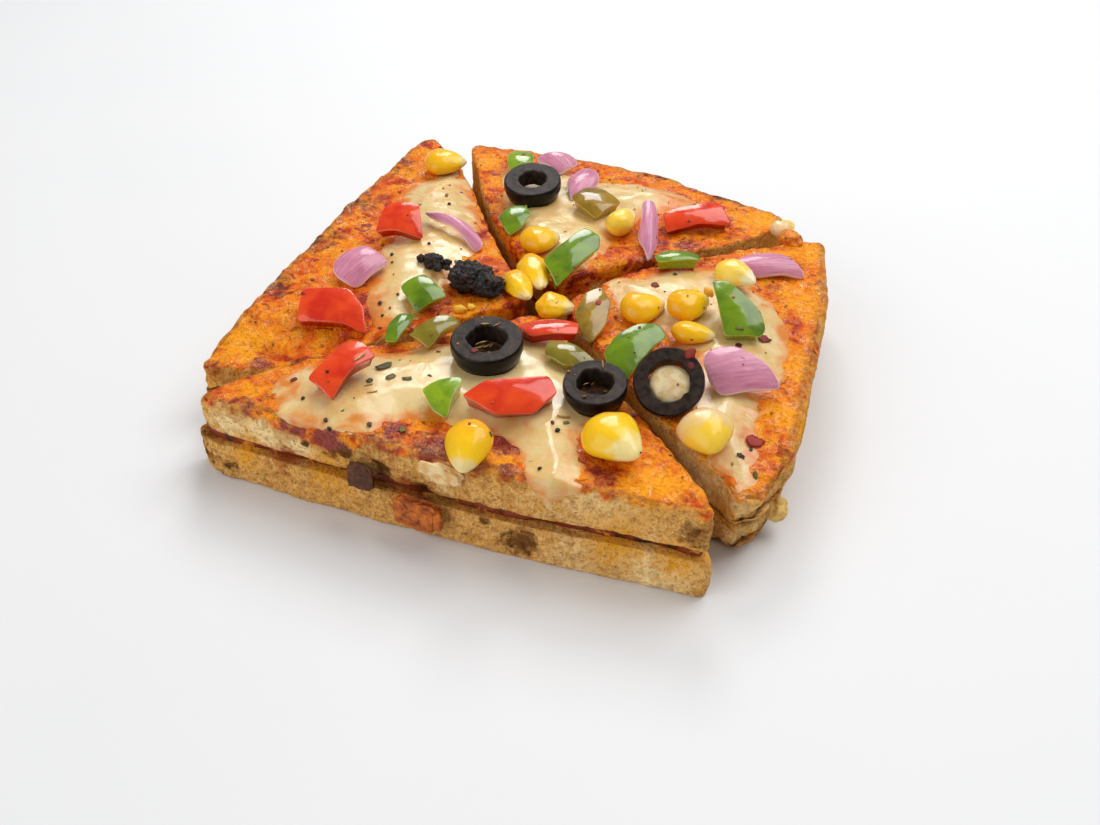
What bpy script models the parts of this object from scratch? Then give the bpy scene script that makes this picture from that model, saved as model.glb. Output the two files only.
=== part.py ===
"""A toasted pizza sandwich, cut corner to corner into four quarters that still lie together.

Each quarter is a lower slice of bread, a thin filling and an upper slice, with melted cheese
and vegetable pieces on top. Lengths are in millimetres until they reach a mesh, in a plan
with x to the right along the front crust, y away from the front and z up.
"""
import math
from dataclasses import dataclass, field, replace

import bmesh
import bpy
import numpy as np
from mathutils import Matrix, Vector, noise
from mathutils.bvhtree import BVHTree
from mathutils.geometry import delaunay_2d_cdt

MM = 0.001
OBJECT_NAME = "pizza_sandwich"
CENTRE_NAME = "sandwich_centre"

# The heights of the layers, from the board up.
LOWER_TOP = 9.4
FILLING_THICKNESS = 1.2
UPPER_TOP = 20.8
GAP = 0.35
SEAM_WAVE = 0.5
SEAM_SHARE = 0.4
TOP_RELIEF = 0.4
TOP_WAVE = 16.0

# The bread's edges: their roundness, how far the crust bulges and how rough the crumb is.
CRUST_SHOULDER = 2.2
CUT_SHOULDER = 0.8
CRUST_BULGE = 0.5
CRUMB_RELIEF = 0.3
OUTLINE_WANDER = 0.4

# The filling lies a little inside the bread. The cheese thins towards its rim.
FILLING_INSET = 1.0
CHEESE_GAP = 0.5
CHEESE_RIM = 0.7
CHEESE_THICKNESS = 1.7
CHEESE_RAMP = 5.0
DRIP_STANDOFF = 0.7
CLEARANCE = 0.3

# How finely each kind of layer is meshed, and the plan's cells for resting one on another.
BREAD_SPACING = 6.5
FILLING_SPACING = 6.5
CHEESE_SPACING = 4.6
PLAN_REACH = 80.0
CELL = 0.6
HEXAGON_ROW = math.sqrt(3.0) / 2.0

# Base colour and roughness of each material.
FINISHES = {
    "toast": ((0.72, 0.36, 0.12), 0.75),
    "sauced_toast": ((0.62, 0.17, 0.02), 0.4),
    "filling": ((0.45, 0.10, 0.02), 0.4),
    "cheese": ((0.86, 0.74, 0.52), 0.35),
    "olive": ((0.012, 0.011, 0.012), 0.25),
    "charred": ((0.02, 0.012, 0.01), 0.8),
    "corn": ((0.9, 0.55, 0.03), 0.3),
    "green_capsicum": ((0.16, 0.36, 0.03), 0.25),
    "red_capsicum": ((0.62, 0.03, 0.01), 0.25),
    "onion": ((0.50, 0.20, 0.34), 0.3),
}


@dataclass(frozen=True)
class Quarter:
    """One quarter of the sandwich in the plan.

    The corners run anticlockwise, first along the crust and then along the two cuts, each as
    x, y and how far its rounding reaches. A press is x, y, reach and depth: where the stack
    is squeezed down, or has risen if the depth is negative. The spread is how far the lower
    slice's crust stands out past the upper one's. The cheese is the corners of its patch, laid
    flat: what goes past the crust hangs down over it.
    """

    name: str
    crust: tuple
    cuts: tuple
    presses: tuple
    spread: float
    cheese: tuple

    def squeeze(self, points):
        """How much of its height the stack keeps at each point of the plan."""
        kept = np.ones(len(points))
        for x, y, reach, depth in self.presses:
            away = np.hypot(points[:, 0] - x, points[:, 1] - y) / reach
            kept -= depth / UPPER_TOP * np.exp(-away**2)
        return kept

    def seam(self, points):
        """Height of the lower slice's upper side."""
        kept = 1.0 - SEAM_SHARE * (1.0 - self.squeeze(points))
        return (LOWER_TOP + SEAM_WAVE * lumps(points, 26.0, 3.0)) * kept

    def above_seam(self, points, rise):
        """Height of a surface that follows the seam."""
        return self.seam(points) + rise

    def top(self, points):
        """Height of the upper slice's sauced top."""
        return (UPPER_TOP + TOP_RELIEF * lumps(points, TOP_WAVE, 5.0)) * self.squeeze(points)


QUARTERS = (
    Quarter(
        "front",
        crust=((-51.5, -67, 3), (4, -66.5, 20), (61.5, -60.5, 4)),
        cuts=((53.5, -51.5, 8), (38, -36.5, 15), (5.5, -10.5, 2), (-19, -34.5, 15), (-37, -49.5, 12)),
        presses=((-49, -65, 14, 1.8),),
        spread=1.2,
        cheese=(
            (-36, -55), (-33, -63), (-25, -68), (-17, -67.5), (-10, -65), (-4, -59), (6, -55),
            (17, -56), (22, -61), (25, -67), (29.5, -71), (34, -67), (35, -60), (31, -50), (34, -40),
            (22, -27), (10, -17), (1, -18), (-13, -33), (-28, -44),
        ),
    ),
    Quarter(
        "right",
        crust=(
            (65, -51.5, 3), (69.2, -43, 5), (69.8, -33, 10), (68.3, 0, 20), (65.5, 30, 20),
            (59.8, 53.5, 5),
        ),
        cuts=((45, 40.5, 12), (16, 13.5, 10), (9, -5.5, 2), (38, -33, 15), (46.5, -40, 8), (58, -46.5, 8)),
        presses=((66, -50, 13, 4.5),),
        spread=-0.9,
        cheese=(
            (15, 8), (22, 16), (34, 25), (42, 26), (54, 16), (62, 4), (63, -10), (61, -21), (61, -31),
            (64, -38), (65, -46), (60, -45), (55, -41), (50, -36), (46, -28), (44, -18), (38, -11), (22, -3),
        ),
    ),
    Quarter(
        "back",
        crust=((51, 60, 5), (26, 66.8, 15), (-5, 73.3, 20), (-50, 68.5, 4)),
        cuts=((-36.5, 46, 15), (-20, 22, 15), (3.5, 2.5, 2), (13, 16.5, 10), (42.5, 43.5, 12)),
        presses=(),
        spread=0.4,
        cheese=(
            (-34, 54), (-30, 61), (-19, 62), (-5, 60), (4, 63), (17, 62), (25, 59), (22, 52), (14, 46),
            (11, 32), (10, 18), (5, 10), (-3, 12), (-13, 20), (-22, 31),
        ),
    ),
    Quarter(
        "left",
        crust=((-62.8, 66.8, 5), (-63.6, 28, 20), (-60, -14, 20), (-58, -41, 8), (-61, -54.5, 4)),
        cuts=((-39.5, -46.5, 12), (-21.5, -31.5, 15), (1, -6, 2), (-23.5, 22.5, 15), (-41, 48.5, 15)),
        presses=((-59, -53, 11, 5), (-45, -46, 8, 5), (-33, -38, 7, 3.5), (-56, 62, 14, -1.5)),
        spread=0.6,
        cheese=(
            (-53, 33), (-51, 41), (-47, 47), (-43, 48), (-35, 39), (-26, 25), (-20, 10), (-19, -2),
            (-19, -16), (-20, -26), (-27, -31), (-36, -19), (-43, -2), (-42, 8), (-48, 20),
        ),
    ),
)


# Plan geometry


def rounded(corners, steps=(0.0, 0.35, 0.65, 1.0)):
    """Round each corner of a closed outline with a curve of some steps between its two sides."""
    points = []
    for index, (x, y, reach) in enumerate(corners):
        corner = np.array((x, y), float)
        ends = []
        for other in (corners[index - 1], corners[(index + 1) % len(corners)]):
            side = np.array(other[:2]) - corner
            length = np.linalg.norm(side)
            ends.append(corner + side / length * min(reach, 0.45 * length))
        for t in steps:
            points.append((1 - t) ** 2 * ends[0] + 2 * t * (1 - t) * corner + t * t * ends[1])
    return np.array(points)


def smooth_loop(corners, steps):
    """A closed Catmull-Rom curve through the corners, with some steps between each two."""
    here = np.array(corners, float)
    t = (np.arange(steps) / steps)[None, :, None]
    b, h, a, f = (np.roll(here, shift, axis=0)[:, None, :] for shift in (1, 0, -1, -2))
    curve = 0.5 * (
        2 * h + (a - b) * t + (2 * b - 5 * h + 4 * a - f) * t**2 + (3 * h - b - 3 * a + f) * t**3
    )
    return curve.reshape(-1, 2)


def resample(outline, spacing):
    """Walk a closed outline in equal steps, and say how far along its corners each step is."""
    closed = np.vstack([outline, outline[:1]])
    lengths = np.linalg.norm(np.diff(closed, axis=0), axis=1)
    reached = np.concatenate([[0.0], np.cumsum(lengths)])
    steps = np.linspace(0.0, reached[-1], round(reached[-1] / spacing), endpoint=False)
    walked = np.stack([np.interp(steps, reached, closed[:, axis]) for axis in (0, 1)], axis=1)
    return walked, np.interp(steps, reached, np.arange(len(closed)))


def normals(outline):
    """Outward direction at each point of an anticlockwise outline."""
    along = np.roll(outline, -1, axis=0) - np.roll(outline, 1, axis=0)
    outward = np.stack([along[:, 1], -along[:, 0]], axis=1)
    return outward / np.linalg.norm(outward, axis=1)[:, None]


def nearest_rim(points, outline):
    """Distance from each point to an outline, the nearest place on it and that place's side."""
    start, end = outline[None], np.roll(outline, -1, axis=0)[None]
    side, reach = end - start, points[:, None] - start
    t = np.clip((reach * side).sum(2) / (side * side).sum(2), 0.0, 1.0)
    places = start + t[..., None] * side
    away = np.linalg.norm(points[:, None] - places, axis=2)
    index = away.argmin(axis=1)
    rows = np.arange(len(points))
    return away[rows, index], places[rows, index], (index + (t[rows, index] > 0.5)) % len(outline)


def inside(points, outline):
    """Which points lie inside an outline, by counting the sides to their right."""
    (x0, y0), (x1, y1) = outline.T, np.roll(outline, -1, axis=0).T
    x, y = points[:, :1], points[:, 1:]
    spans = (y0 > y) != (y1 > y)
    rise = np.where(y1 == y0, 1.0, y1 - y0)
    return (spans & (x < x0 + (y - y0) * (x1 - x0) / rise)).sum(axis=1) % 2 == 1


def lumps(points, size, seed):
    """Smooth unevenness between about -1 and 1, with features of the given size."""
    return np.array([noise.noise(Vector((x / size, y / size, seed))) for x, y in points])


def quarter_outline(quarter, spacing, inset, seed, spread=0.0):
    """A quarter's uneven outline in the plan, and its shoulder's radius at each point.

    The inset draws the whole outline in and the spread moves only the crust out.
    """
    outline, corner = resample(rounded(quarter.crust + quarter.cuts), spacing)
    on_crust = corner < 4 * len(quarter.crust) - 2
    softness = np.where(on_crust, CRUST_SHOULDER, CUT_SHOULDER)
    wander = OUTLINE_WANDER * lumps(outline, 9.0, seed) - inset + spread * on_crust
    return outline + normals(outline) * wander[:, None], softness


# Layers


def new_object(name, finish, mesh):
    """Link a mesh to the sandwich's collection as a named piece with its material."""
    piece = bpy.data.objects.new(name, mesh)
    bpy.data.collections[OBJECT_NAME].objects.link(piece)
    piece.parent = bpy.data.objects[CENTRE_NAME]
    mesh.materials.append(bpy.data.materials[finish])
    return piece


def finish_mesh(bm, name):
    """Write a bmesh to a smooth-shaded mesh, its faces turned outwards."""
    bmesh.ops.recalc_face_normals(bm, faces=bm.faces[:])
    mesh = bpy.data.meshes.new(name)
    bm.to_mesh(mesh)
    bm.free()
    mesh.shade_smooth()
    mesh.set_sharp_from_angle(angle=math.radians(50.0))
    return mesh


def filled_sheet(outline, spacing):
    """A flat sheet inside an outline, on a hexagonal lattice that keeps clear of the rim."""
    low, high = outline.min(axis=0), outline.max(axis=0)
    rows = np.arange(low[1], high[1], spacing * HEXAGON_ROW)
    columns = np.arange(low[0], high[0], spacing)
    lattice = np.array([(x + row % 2 * spacing / 2, y) for row, y in enumerate(rows) for x in columns])
    away, _, _ = nearest_rim(lattice, outline)
    lattice = lattice[inside(lattice, outline) & (away > 0.6 * spacing)]
    rim = [(i, (i + 1) % len(outline)) for i in range(len(outline))]
    points = [Vector(point) for point in np.vstack([outline, lattice])]
    corners, _, triangles, *_ = delaunay_2d_cdt(points, rim, [], 1, 1e-6)
    bm = bmesh.new()
    verts = [bm.verts.new((x, y, 0.0)) for x, y in corners]
    for triangle in triangles:
        bm.faces.new([verts[i] for i in triangle])
    return bm


def thicken(bm, rings):
    """Extrude a flat sheet to a height of one, with rings of points round its wall."""
    lifted = bmesh.ops.extrude_face_region(bm, geom=bm.faces[:], use_keep_orig=True)["geom"]
    for vert in (part for part in lifted if isinstance(part, bmesh.types.BMVert)):
        vert.co.z = 1.0
    wall = [edge for edge in bm.edges if abs(edge.verts[0].co.z - edge.verts[1].co.z) > 0.5]
    if rings:
        bmesh.ops.subdivide_edges(bm, edges=wall, cuts=rings)


def shoulder_drop(away, radius):
    """How far a rounded edge has dropped at a distance in from the rim."""
    inward = np.clip(1.0 - away / radius, 0.0, 1.0)
    return radius * (1.0 - np.sqrt(1.0 - inward**2))


def level_sheet(outline, spacing, rings):
    """A thickened sheet, with each vertex's place in the plan and its level from 0 to 1."""
    bm = filled_sheet(outline, spacing)
    thicken(bm, rings)
    flat = np.array([vert.co for vert in bm.verts])
    return bm, flat[:, :2], flat[:, 2]


def place_sheet(name, finish, bm, plan, height):
    """Move a sheet's vertices to their places and stand it on its own centre."""
    centre = (plan.min(axis=0) + plan.max(axis=0)) / 2.0
    for vert, (x, y), z in zip(bm.verts, plan - centre, height):
        vert.co = Vector((x, y, z)) * MM
    piece = new_object(name, finish, finish_mesh(bm, name))
    piece.location = (centre[0] * MM, centre[1] * MM, 0.0)
    return piece


def fuse(piece, extras):
    """Join extra pieces, if there are any, to a piece as one closed body and remove them."""
    if not extras:
        return
    helpers = bpy.data.collections.new("fused_into_" + piece.name)
    for extra in extras:
        bpy.data.collections[OBJECT_NAME].objects.unlink(extra)
        helpers.objects.link(extra)
    union = piece.modifiers.new("Fused", "BOOLEAN")
    union.operation = "UNION"
    union.operand_type = "COLLECTION"
    union.collection = helpers
    bpy.context.view_layer.update()
    seen = piece.evaluated_get(bpy.context.evaluated_depsgraph_get())
    joined = bpy.data.meshes.new_from_object(seen)
    piece.modifiers.clear()
    piece.data = joined
    for extra in extras:
        bpy.data.objects.remove(extra, do_unlink=True)
    bpy.data.collections.remove(helpers)


def build_slice(name, finish, outline, under, top, soft_under, soft_top):
    """A slice of bread between two heights, its crust rounded over and its wall uneven."""
    bm, plan, level = level_sheet(outline, BREAD_SPACING, 2)
    away, _, side = nearest_rim(plan, outline)
    low = under(plan) + shoulder_drop(away, soft_under[side])
    high = top(plan) - shoulder_drop(away, soft_top[side])
    wall = (level > 0.01) & (level < 0.99)
    swell = CRUST_BULGE * np.sin(math.pi * level) + CRUMB_RELIEF * lumps(plan, 5.0, 7.0)
    plan = plan + normals(outline)[side] * (swell * wall)[:, None]
    return place_sheet(name, finish, bm, plan, low + (high - low) * level)


def build_bread(quarter):
    """The quarter's lower slice, filling and upper slice."""
    outline, soft = quarter_outline(quarter, BREAD_SPACING, 0.0, 11.0, quarter.spread)
    lower = build_slice(
        "lower_slice_" + quarter.name,
        "toast",
        outline,
        lambda plan: np.zeros(len(plan)),
        quarter.seam,
        0.6 * soft,
        0.3 * soft,
    )
    fuse(lower, [build_knob(index, knob) for index, knob in enumerate(KNOBS.get(quarter.name, ()))])
    outline, _ = quarter_outline(quarter, FILLING_SPACING, FILLING_INSET, 17.0)
    bm, plan, level = level_sheet(outline, FILLING_SPACING, 0)
    height = quarter.above_seam(plan, GAP + FILLING_THICKNESS * level)
    filling = place_sheet("filling_" + quarter.name, "filling", bm, plan, height)
    fuse(filling, build_ooze(quarter))
    outline, soft = quarter_outline(quarter, BREAD_SPACING, 0.0, 23.0)
    build_slice(
        "upper_slice_" + quarter.name,
        "sauced_toast",
        outline,
        lambda plan: quarter.above_seam(plan, 2 * GAP + FILLING_THICKNESS),
        quarter.top,
        0.3 * soft,
        soft,
    )


def drape(quarter, plan, offset):
    """Lay flat points over a quarter's top and, past its crust, down over the shoulder."""
    outline, soft = quarter_outline(quarter, BREAD_SPACING, 0.0, 23.0)
    away, place, side = nearest_rim(plan, outline)
    radius = soft[side]
    past = radius - np.where(inside(plan, outline), away, -away)
    angle = np.clip(past / radius, 0.0, math.pi / 2.0)
    outward = normals(outline)[side]
    fall = np.clip(past - radius * math.pi / 2.0, 0.0, None)
    arm = radius + offset + DRIP_STANDOFF * np.sin(angle)
    shoulder = place + outward * (arm * np.sin(angle) - radius)[:, None]
    over = (past > 0.0)[:, None]
    draped = np.where(over, shoulder, plan)
    height = quarter.top(np.where(over, place, plan)) - radius * (past > 0.0)
    return draped, height + np.where(past > 0.0, arm * np.cos(angle) - fall, offset)


def build_cheese(quarter):
    """The quarter's melted cheese, thin at its rim and draped over what it covers."""
    outline, _ = resample(smooth_loop(quarter.cheese, 6), CHEESE_SPACING)
    bm, plan, level = level_sheet(outline, CHEESE_SPACING, 0)
    away, _, _ = nearest_rim(plan, outline)
    thickness = CHEESE_RIM + (CHEESE_THICKNESS - CHEESE_RIM) * np.clip(away / CHEESE_RAMP, 0, 1)
    plan, height = drape(quarter, plan, CHEESE_GAP + thickness * level)
    return place_sheet("cheese_" + quarter.name, "cheese", bm, plan, height)


# Pieces laid on top, and what has come out of the seam


@dataclass(frozen=True)
class Laid:
    """A piece laid on top: its place in the plan, heading, lean, lift and size.

    The lean turns the piece about its own length and the lift raises its leading end, in
    degrees. The size is length, width and thickness, or a ring's diameter, hole and height.
    """

    name: str
    finish: str
    x: float
    y: float
    heading: float
    lean: float
    lift: float
    size: tuple
    shape: dict = field(default_factory=dict)


def chip(laid, outline, bow=1.2, cup=0.8, corner=0.7):
    """A curved piece of vegetable wall, cut to its outline: bowed along and cupped across."""
    length, width, wall = laid.size
    rim = rounded([(*place, corner) for place in outline], (0.0, 1.0))
    bm = bmesh.new()
    bm.faces.new([bm.verts.new((x, y, 0.0)) for x, y in rim])
    middle = bmesh.ops.poke(bm, faces=bm.faces[:])["verts"][0]
    bmesh.ops.subdivide_edges(bm, edges=middle.link_edges[:], cuts=1)
    for vert in bm.verts:
        u, v = 2.0 * vert.co.x / length, 2.0 * vert.co.y / width
        vert.co.z = -bow * u * u - cup * v * v
        vert.co *= MM
    piece = new_object(laid.name, laid.finish, finish_mesh(bm, laid.name))
    thick = piece.modifiers.new("Wall", "SOLIDIFY")
    thick.thickness = wall * MM
    thick.offset = -1.0
    return piece


def kernel(laid, taper=0.28):
    """A corn kernel: a broad crown that narrows to a blunt tip at its leading end."""
    bm = bmesh.new()
    bmesh.ops.create_uvsphere(bm, u_segments=10, v_segments=6, radius=1.0)
    bmesh.ops.rotate(bm, verts=bm.verts[:], matrix=Matrix.Rotation(math.pi / 2.0, 3, "Y"))
    length, width, depth = (extent * MM / 2.0 for extent in laid.size)
    for vert in bm.verts:
        x, y, z = vert.co
        narrow = 1.0 - taper * max(0.0, x + 0.4)
        vert.co = Vector((x * length, y * width * narrow, z * depth * narrow))
    return new_object(laid.name, laid.finish, finish_mesh(bm, laid.name))


def lump(laid, seed=1.0):
    """A shrivelled, charred lump."""
    bm = bmesh.new()
    bmesh.ops.create_icosphere(bm, subdivisions=2, radius=1.0)
    for vert in bm.verts:
        swell = 1.0 + 0.35 * noise.noise(vert.co * 1.7 + Vector((seed, 0.0, 0.0)))
        vert.co = Vector([c * swell * extent * MM / 2.0 for c, extent in zip(vert.co, laid.size)])
    return new_object(laid.name, laid.finish, finish_mesh(bm, laid.name))


def olive_ring(laid):
    """A ring cut from a stoned olive: a section with a rounded skin turned about its axis."""
    outer, hole, half = laid.size[0] / 2.0, laid.size[1] / 2.0, laid.size[2] / 2.0
    section = ((outer - 0.9, half), (outer, half - 1.2), (outer, 1.2 - half))
    section += ((outer - 0.9, -half), (hole, -half), (hole, half))
    bm = bmesh.new()
    verts = [bm.verts.new((x * MM, 0.0, z * MM)) for x, z in section]
    for start, end in zip(verts, verts[1:] + verts[:1]):
        bm.edges.new((start, end))
    mesh = bpy.data.meshes.new(laid.name)
    bm.to_mesh(mesh)
    bm.free()
    piece = new_object(laid.name, laid.finish, mesh)
    turned = piece.modifiers.new("Turn", "SCREW")
    turned.steps = turned.render_steps = 14
    turned.use_merge_vertices = True
    turned.merge_threshold = 0.00001
    turned.use_smooth_shade = True
    return piece


def cluster(laid, make=None, parts=()):
    """Touching pieces of one kind, each given as x, y, heading and size about the first."""
    piece = make(laid)
    extras = []
    for index, (x, y, heading, size) in enumerate(parts):
        extra = make(replace(laid, name=f"{laid.name}_{index}", size=size))
        extra.location = (x * MM, y * MM, 0.0)
        extra.rotation_euler.z = math.radians(heading)
        extras.append(extra)
    fuse(piece, extras)
    return piece


GREEN, RED, CORN, ONION = "green_capsicum", "red_capsicum", "corn", "onion"

CORN_PAIR = {"make": kernel, "parts": ((5.0, -5.0, 8.0, (13, 7, 5)),)}
CHARRED_CRUMBS = {
    "make": lump,
    "parts": ((6.0, -1.0, 40.0, (7, 6, 5)), (-7.5, 2.0, 0.0, (6, 3.5, 3)), (-12.0, 3.5, 20.0, (8, 6.5, 4.5))),
}

PETAL = {"bow": 1.6, "cup": 1.8, "corner": 1.6}


def cut(name, finish, x, y, heading, lean, lift, wall, *outline):
    """A cut piece of vegetable wall: where it lies, how thick it is and its corners."""
    size = (*np.ptp(outline, axis=0), wall)
    shape = {"outline": outline, **(PETAL if finish == ONION else {})}
    return chip, Laid(name, finish, x, y, heading, lean, lift, size, shape)


# In the order in which they lie, each resting on what is already there.
LAID = (
    (kernel, Laid("corn_left_corner", CORN, -46.5, 44.5, 20, 0, 0, (12, 11.5, 7))),
    cut(
        "capsicum_back_corner", GREEN, -26.6, 53, -62, 1, -10, 2.8,
        (2, -4), (5.5, -3), (1, 4), (-4, 4), (-5.5, -2), (-2.5, -4),
    ),
    cut(
        "onion_back_edge", ONION, -17.4, 58.1, -24, 8, -9, 2,
        (-3.5, -5), (1.5, -4), (5, -4.5), (5.5, -1.5), (5.5, 4), (1.5, 5), (-5.5, -3),
    ),
    cut(
        "onion_back", ONION, -6, 46.6, 82, 6, 11, 2,
        (-5.5, 1), (-8, -1), (-0.5, -4.5), (4.5, -4), (8, -1), (8, 2.5), (5, 4), (-0.5, 4.5),
    ),
    (olive_ring, Laid("olive_back", "olive", -17, 38.5, 0, 10, 0, (16, 7, 5))),
    cut(
        "capsicum_red_back", RED, 28.4, 41.3, 32, 24, 5, 3.4,
        (-9, -3.5), (0, -3), (9, -4), (7.5, 4), (-1, 4), (-8.5, 3.5),
    ),
    cut(
        "onion_upright", ONION, 18.6, 30.1, -74, -2, -20, 2.2,
        (-3.5, -2), (3, -3), (11, 1), (5, 3), (-4.5, 3), (-11, 1.5), (-10.5, -2.5),
    ),
    (kernel, Laid("corn_back", CORN, 11, 32, 80, 0, 0, (11, 7.5, 7))),
    cut(
        "capsicum_olive_toned", GREEN, 1.6, 37.1, 66, 6, 6, 3,
        (-5.5, 0), (-5.5, -5.5), (-1.5, -5.5), (5, -5.5), (5.5, 2), (2.5, 5.5), (-4, 5.5),
    ),
    cut(
        "capsicum_back_left", GREEN, -14.9, 21.8, 66, 11, 11, 3,
        (-5, -0.5), (-5.5, -3.5), (-1.5, -4), (3.5, -2.5), (5.5, 1.5), (1.5, 4), (-3.5, 3.5),
    ),
    (kernel, Laid("corn_back_middle", CORN, -5, 14.5, 40, 0, 0, (10.5, 10, 6.5))),
    (cluster, Laid("corn_centre_pair", CORN, -1.2, 2.2, -55, 0, 0, (15, 8, 6), CORN_PAIR)),
    (kernel, Laid("corn_centre_crinkled", CORN, 8.5, -9, 10, 0, 0, (9, 9, 6))),
    cut(
        "capsicum_centre_large", GREEN, 7, 4.5, 68, 15, 16, 3.5,
        (-9.5, -4), (6.5, -4), (9.5, -1.5), (9, 3.5), (-6, 4),
    ),
    cut(
        "onion_left_strip", ONION, -27.1, 10.9, -20, 15, -13, 2,
        (-6, -3), (1.5, -1.5), (10.5, -3), (10.5, 1), (2, 3), (-10.5, -2.5),
    ),
    cut(
        "capsicum_red_left", RED, -39, 4.9, 16, 24, -2, 3.4,
        (-6.5, -5), (-1, -4.5), (6.5, -5.5), (3.5, 5.5), (-4, 4.5), (-5.5, 3),
    ),
    cut(
        "onion_left", ONION, -40.4, -16, 72, 11, 14, 2.4,
        (-6.5, 0), (-5.5, -5.5), (6.5, -5.5), (6, 3), (-0.5, 5.5), (-5.5, 3.5),
    ),
    (cluster, Laid("charred_olive", "charred", -13.5, -10.2, 0, 0, 0, (12, 8, 7), CHARRED_CRUMBS)),
    cut(
        "capsicum_left_upper", GREEN, -19.8, -21.7, 56, 16, 12, 3.2,
        (-4, 1.5), (-4.5, -4.5), (4.5, -4.5), (3.5, 4.5), (-3.5, 4.5),
    ),
    cut(
        "capsicum_red_left_corner", RED, -36.1, -33.6, 12, 24, -4, 3.6,
        (-7.5, -5.5), (3.5, -4.5), (9, -5.5), (7, 1), (2, 5.5), (-9, 3.5),
    ),
    cut(
        "capsicum_red_front_left", RED, -19.8, -56.7, 74, 11, 15, 3.6,
        (-7.5, -4), (0.5, -2.5), (6.5, -4), (7.5, 1.5), (5, 4), (-6.5, 4),
    ),
    cut(
        "capsicum_left_small", GREEN, -18.7, -35.2, -84, -3, -10, 2.8,
        (5, 1.5), (0, 2.5), (-5.5, 2.5), (-3.5, -1.5), (0.5, -2.5), (5.5, -1.5),
    ),
    cut(
        "capsicum_grey_green", GREEN, -10.4, -33.5, 70, 7, 8, 3,
        (-5.5, -3.5), (0.5, -3), (5.5, -3.5), (5, 1), (-5.5, 3.5),
    ),
    cut(
        "capsicum_red_middle", RED, 12.7, -24.6, 32, 8, 2, 3,
        (-4.5, -2), (6.5, -2.5), (7.5, 1.5), (0, 4), (-7.5, 4),
    ),
    cut(
        "capsicum_translucent", GREEN, 20.4, -31, 6, 14, -4, 3,
        (-5.5, -1.5), (-0.5, -3.5), (6, -1.5), (6, 0.5), (0, 3.5), (-6, 3.5),
    ),
    cut(
        "capsicum_yellow_olive", GREEN, 18.6, -11.6, -84, -4, -14, 3,
        (6.5, -1.5), (9, 2), (3, 4), (-4.5, 3.5), (-9, 0), (-5.5, -3.5), (1.5, -4),
    ),
    (kernel, Laid("corn_right_inner", CORN, 28.5, -5, 40, 10, 0, (11, 9.5, 6))),
    (kernel, Laid("corn_right_middle", CORN, 38, -1, 50, 15, 0, (11, 9, 6))),
    (kernel, Laid("corn_right_outer", CORN, 42, -10.5, 10, 0, 0, (10, 7, 5))),
    cut(
        "capsicum_right_back", GREEN, 29.7, 19.4, 22, -2, 0, 3.3,
        (-5.5, -2.5), (0, -3), (6, -1.5), (5, 2.5), (-2, 3), (-6, 0.5),
    ),
    (kernel, Laid("corn_right_pale", CORN, 45, 16.5, -25, 10, 0, (11, 8.5, 6))),
    cut(
        "onion_right_back", ONION, 50.9, 27.9, 26, 14, 1, 2,
        (-4.5, -4.5), (1.5, -4), (9.5, -4.5), (6, 1.5), (1.5, 4.5), (-3.5, 4.5), (-9.5, 1.5),
    ),
    (kernel, Laid("corn_right_corner", CORN, 49.5, 52.5, 60, 0, 0, (8, 6, 5))),
    cut(
        "capsicum_right_large", GREEN, 50.1, -2.7, -62, 3, -22, 3.5,
        (1, -5), (7.5, -5), (8.5, 3.5), (6.5, 5), (2, 4.5), (-7.5, -1.5), (-8.5, -5),
    ),
    cut(
        "capsicum_front_large", GREEN, 31.8, -22.2, 72, 11, 14, 3.5,
        (-8.5, 0.5), (-8.5, -4.5), (1.5, -4), (7, -4.5), (8.5, -1), (5, 3), (-0.5, 4.5), (-6, 4),
    ),
    cut(
        "onion_right", ONION, 55.8, -23.2, 30, 24, 4, 2.6,
        (-7.5, -2.5), (-6, -6), (2, -6), (8, -6), (6.5, -1.5), (0, 5.5), (-5.5, 6), (-8, 3.5),
    ),
    cut(
        "capsicum_fibrous", GREEN, 3.3, -54.5, -40, 10, -18, 4,
        (2, -4.5), (5, -2.5), (1, 0.5), (-2, 4.5), (-3.5, 4.5), (-5, -0.5), (-4.5, -4.5),
    ),
    cut(
        "capsicum_red_front", RED, 15.2, -51.2, 28, 24, 3, 4,
        (-3.5, -4), (4.5, -4.5), (10, 0), (8.5, 4.5), (-5, 4.5), (-10, 1.5),
    ),
    (olive_ring, Laid("olive_left", "olive", 3.1, -35.4, 0, 6, 0, (16, 8, 5))),
    (olive_ring, Laid("olive_middle", "olive", 29.3, -39.9, 0, 8, 0, (13.6, 7, 4.5))),
    (olive_ring, Laid("olive_right", "olive", 42.8, -33, 12, 42, 0, (15, 8.5, 5))),
    (kernel, Laid("corn_front_left", CORN, 11.9, -63.4, -75, 5, -12, (12.6, 9.5, 7))),
    (kernel, Laid("corn_front_middle", CORN, 37.5, -51.5, -30, 8, 0, (13.5, 12, 8))),
    (kernel, Laid("corn_front_right", CORN, 53.7, -43, -60, 8, 0, (11.5, 11.5, 8.5))),
)


@dataclass(frozen=True)
class Knob:
    """A lump that stands out of a crust: its place, the way it faces, size and seed."""

    x: float
    y: float
    z: float
    facing: float
    size: tuple
    seed: float


# What has come out of the front seam and hangs there, and a torn knob of the right crust.
OOZE = {
    "front": (
        Knob(-9, -70.6, 12.0, -90, (6, 2.0, 8), 2.0),
        Knob(3.5, -70.8, 8.0, -90, (10, 2.2, 9), 4.0),
    ),
}
KNOBS = {"right": (Knob(68.9, -37.8, 6.0, -15, (5.5, 4.6, 5.6), 6.0),)}
OOZE_NECK = (3.5, 8.0, 0.7)


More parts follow.
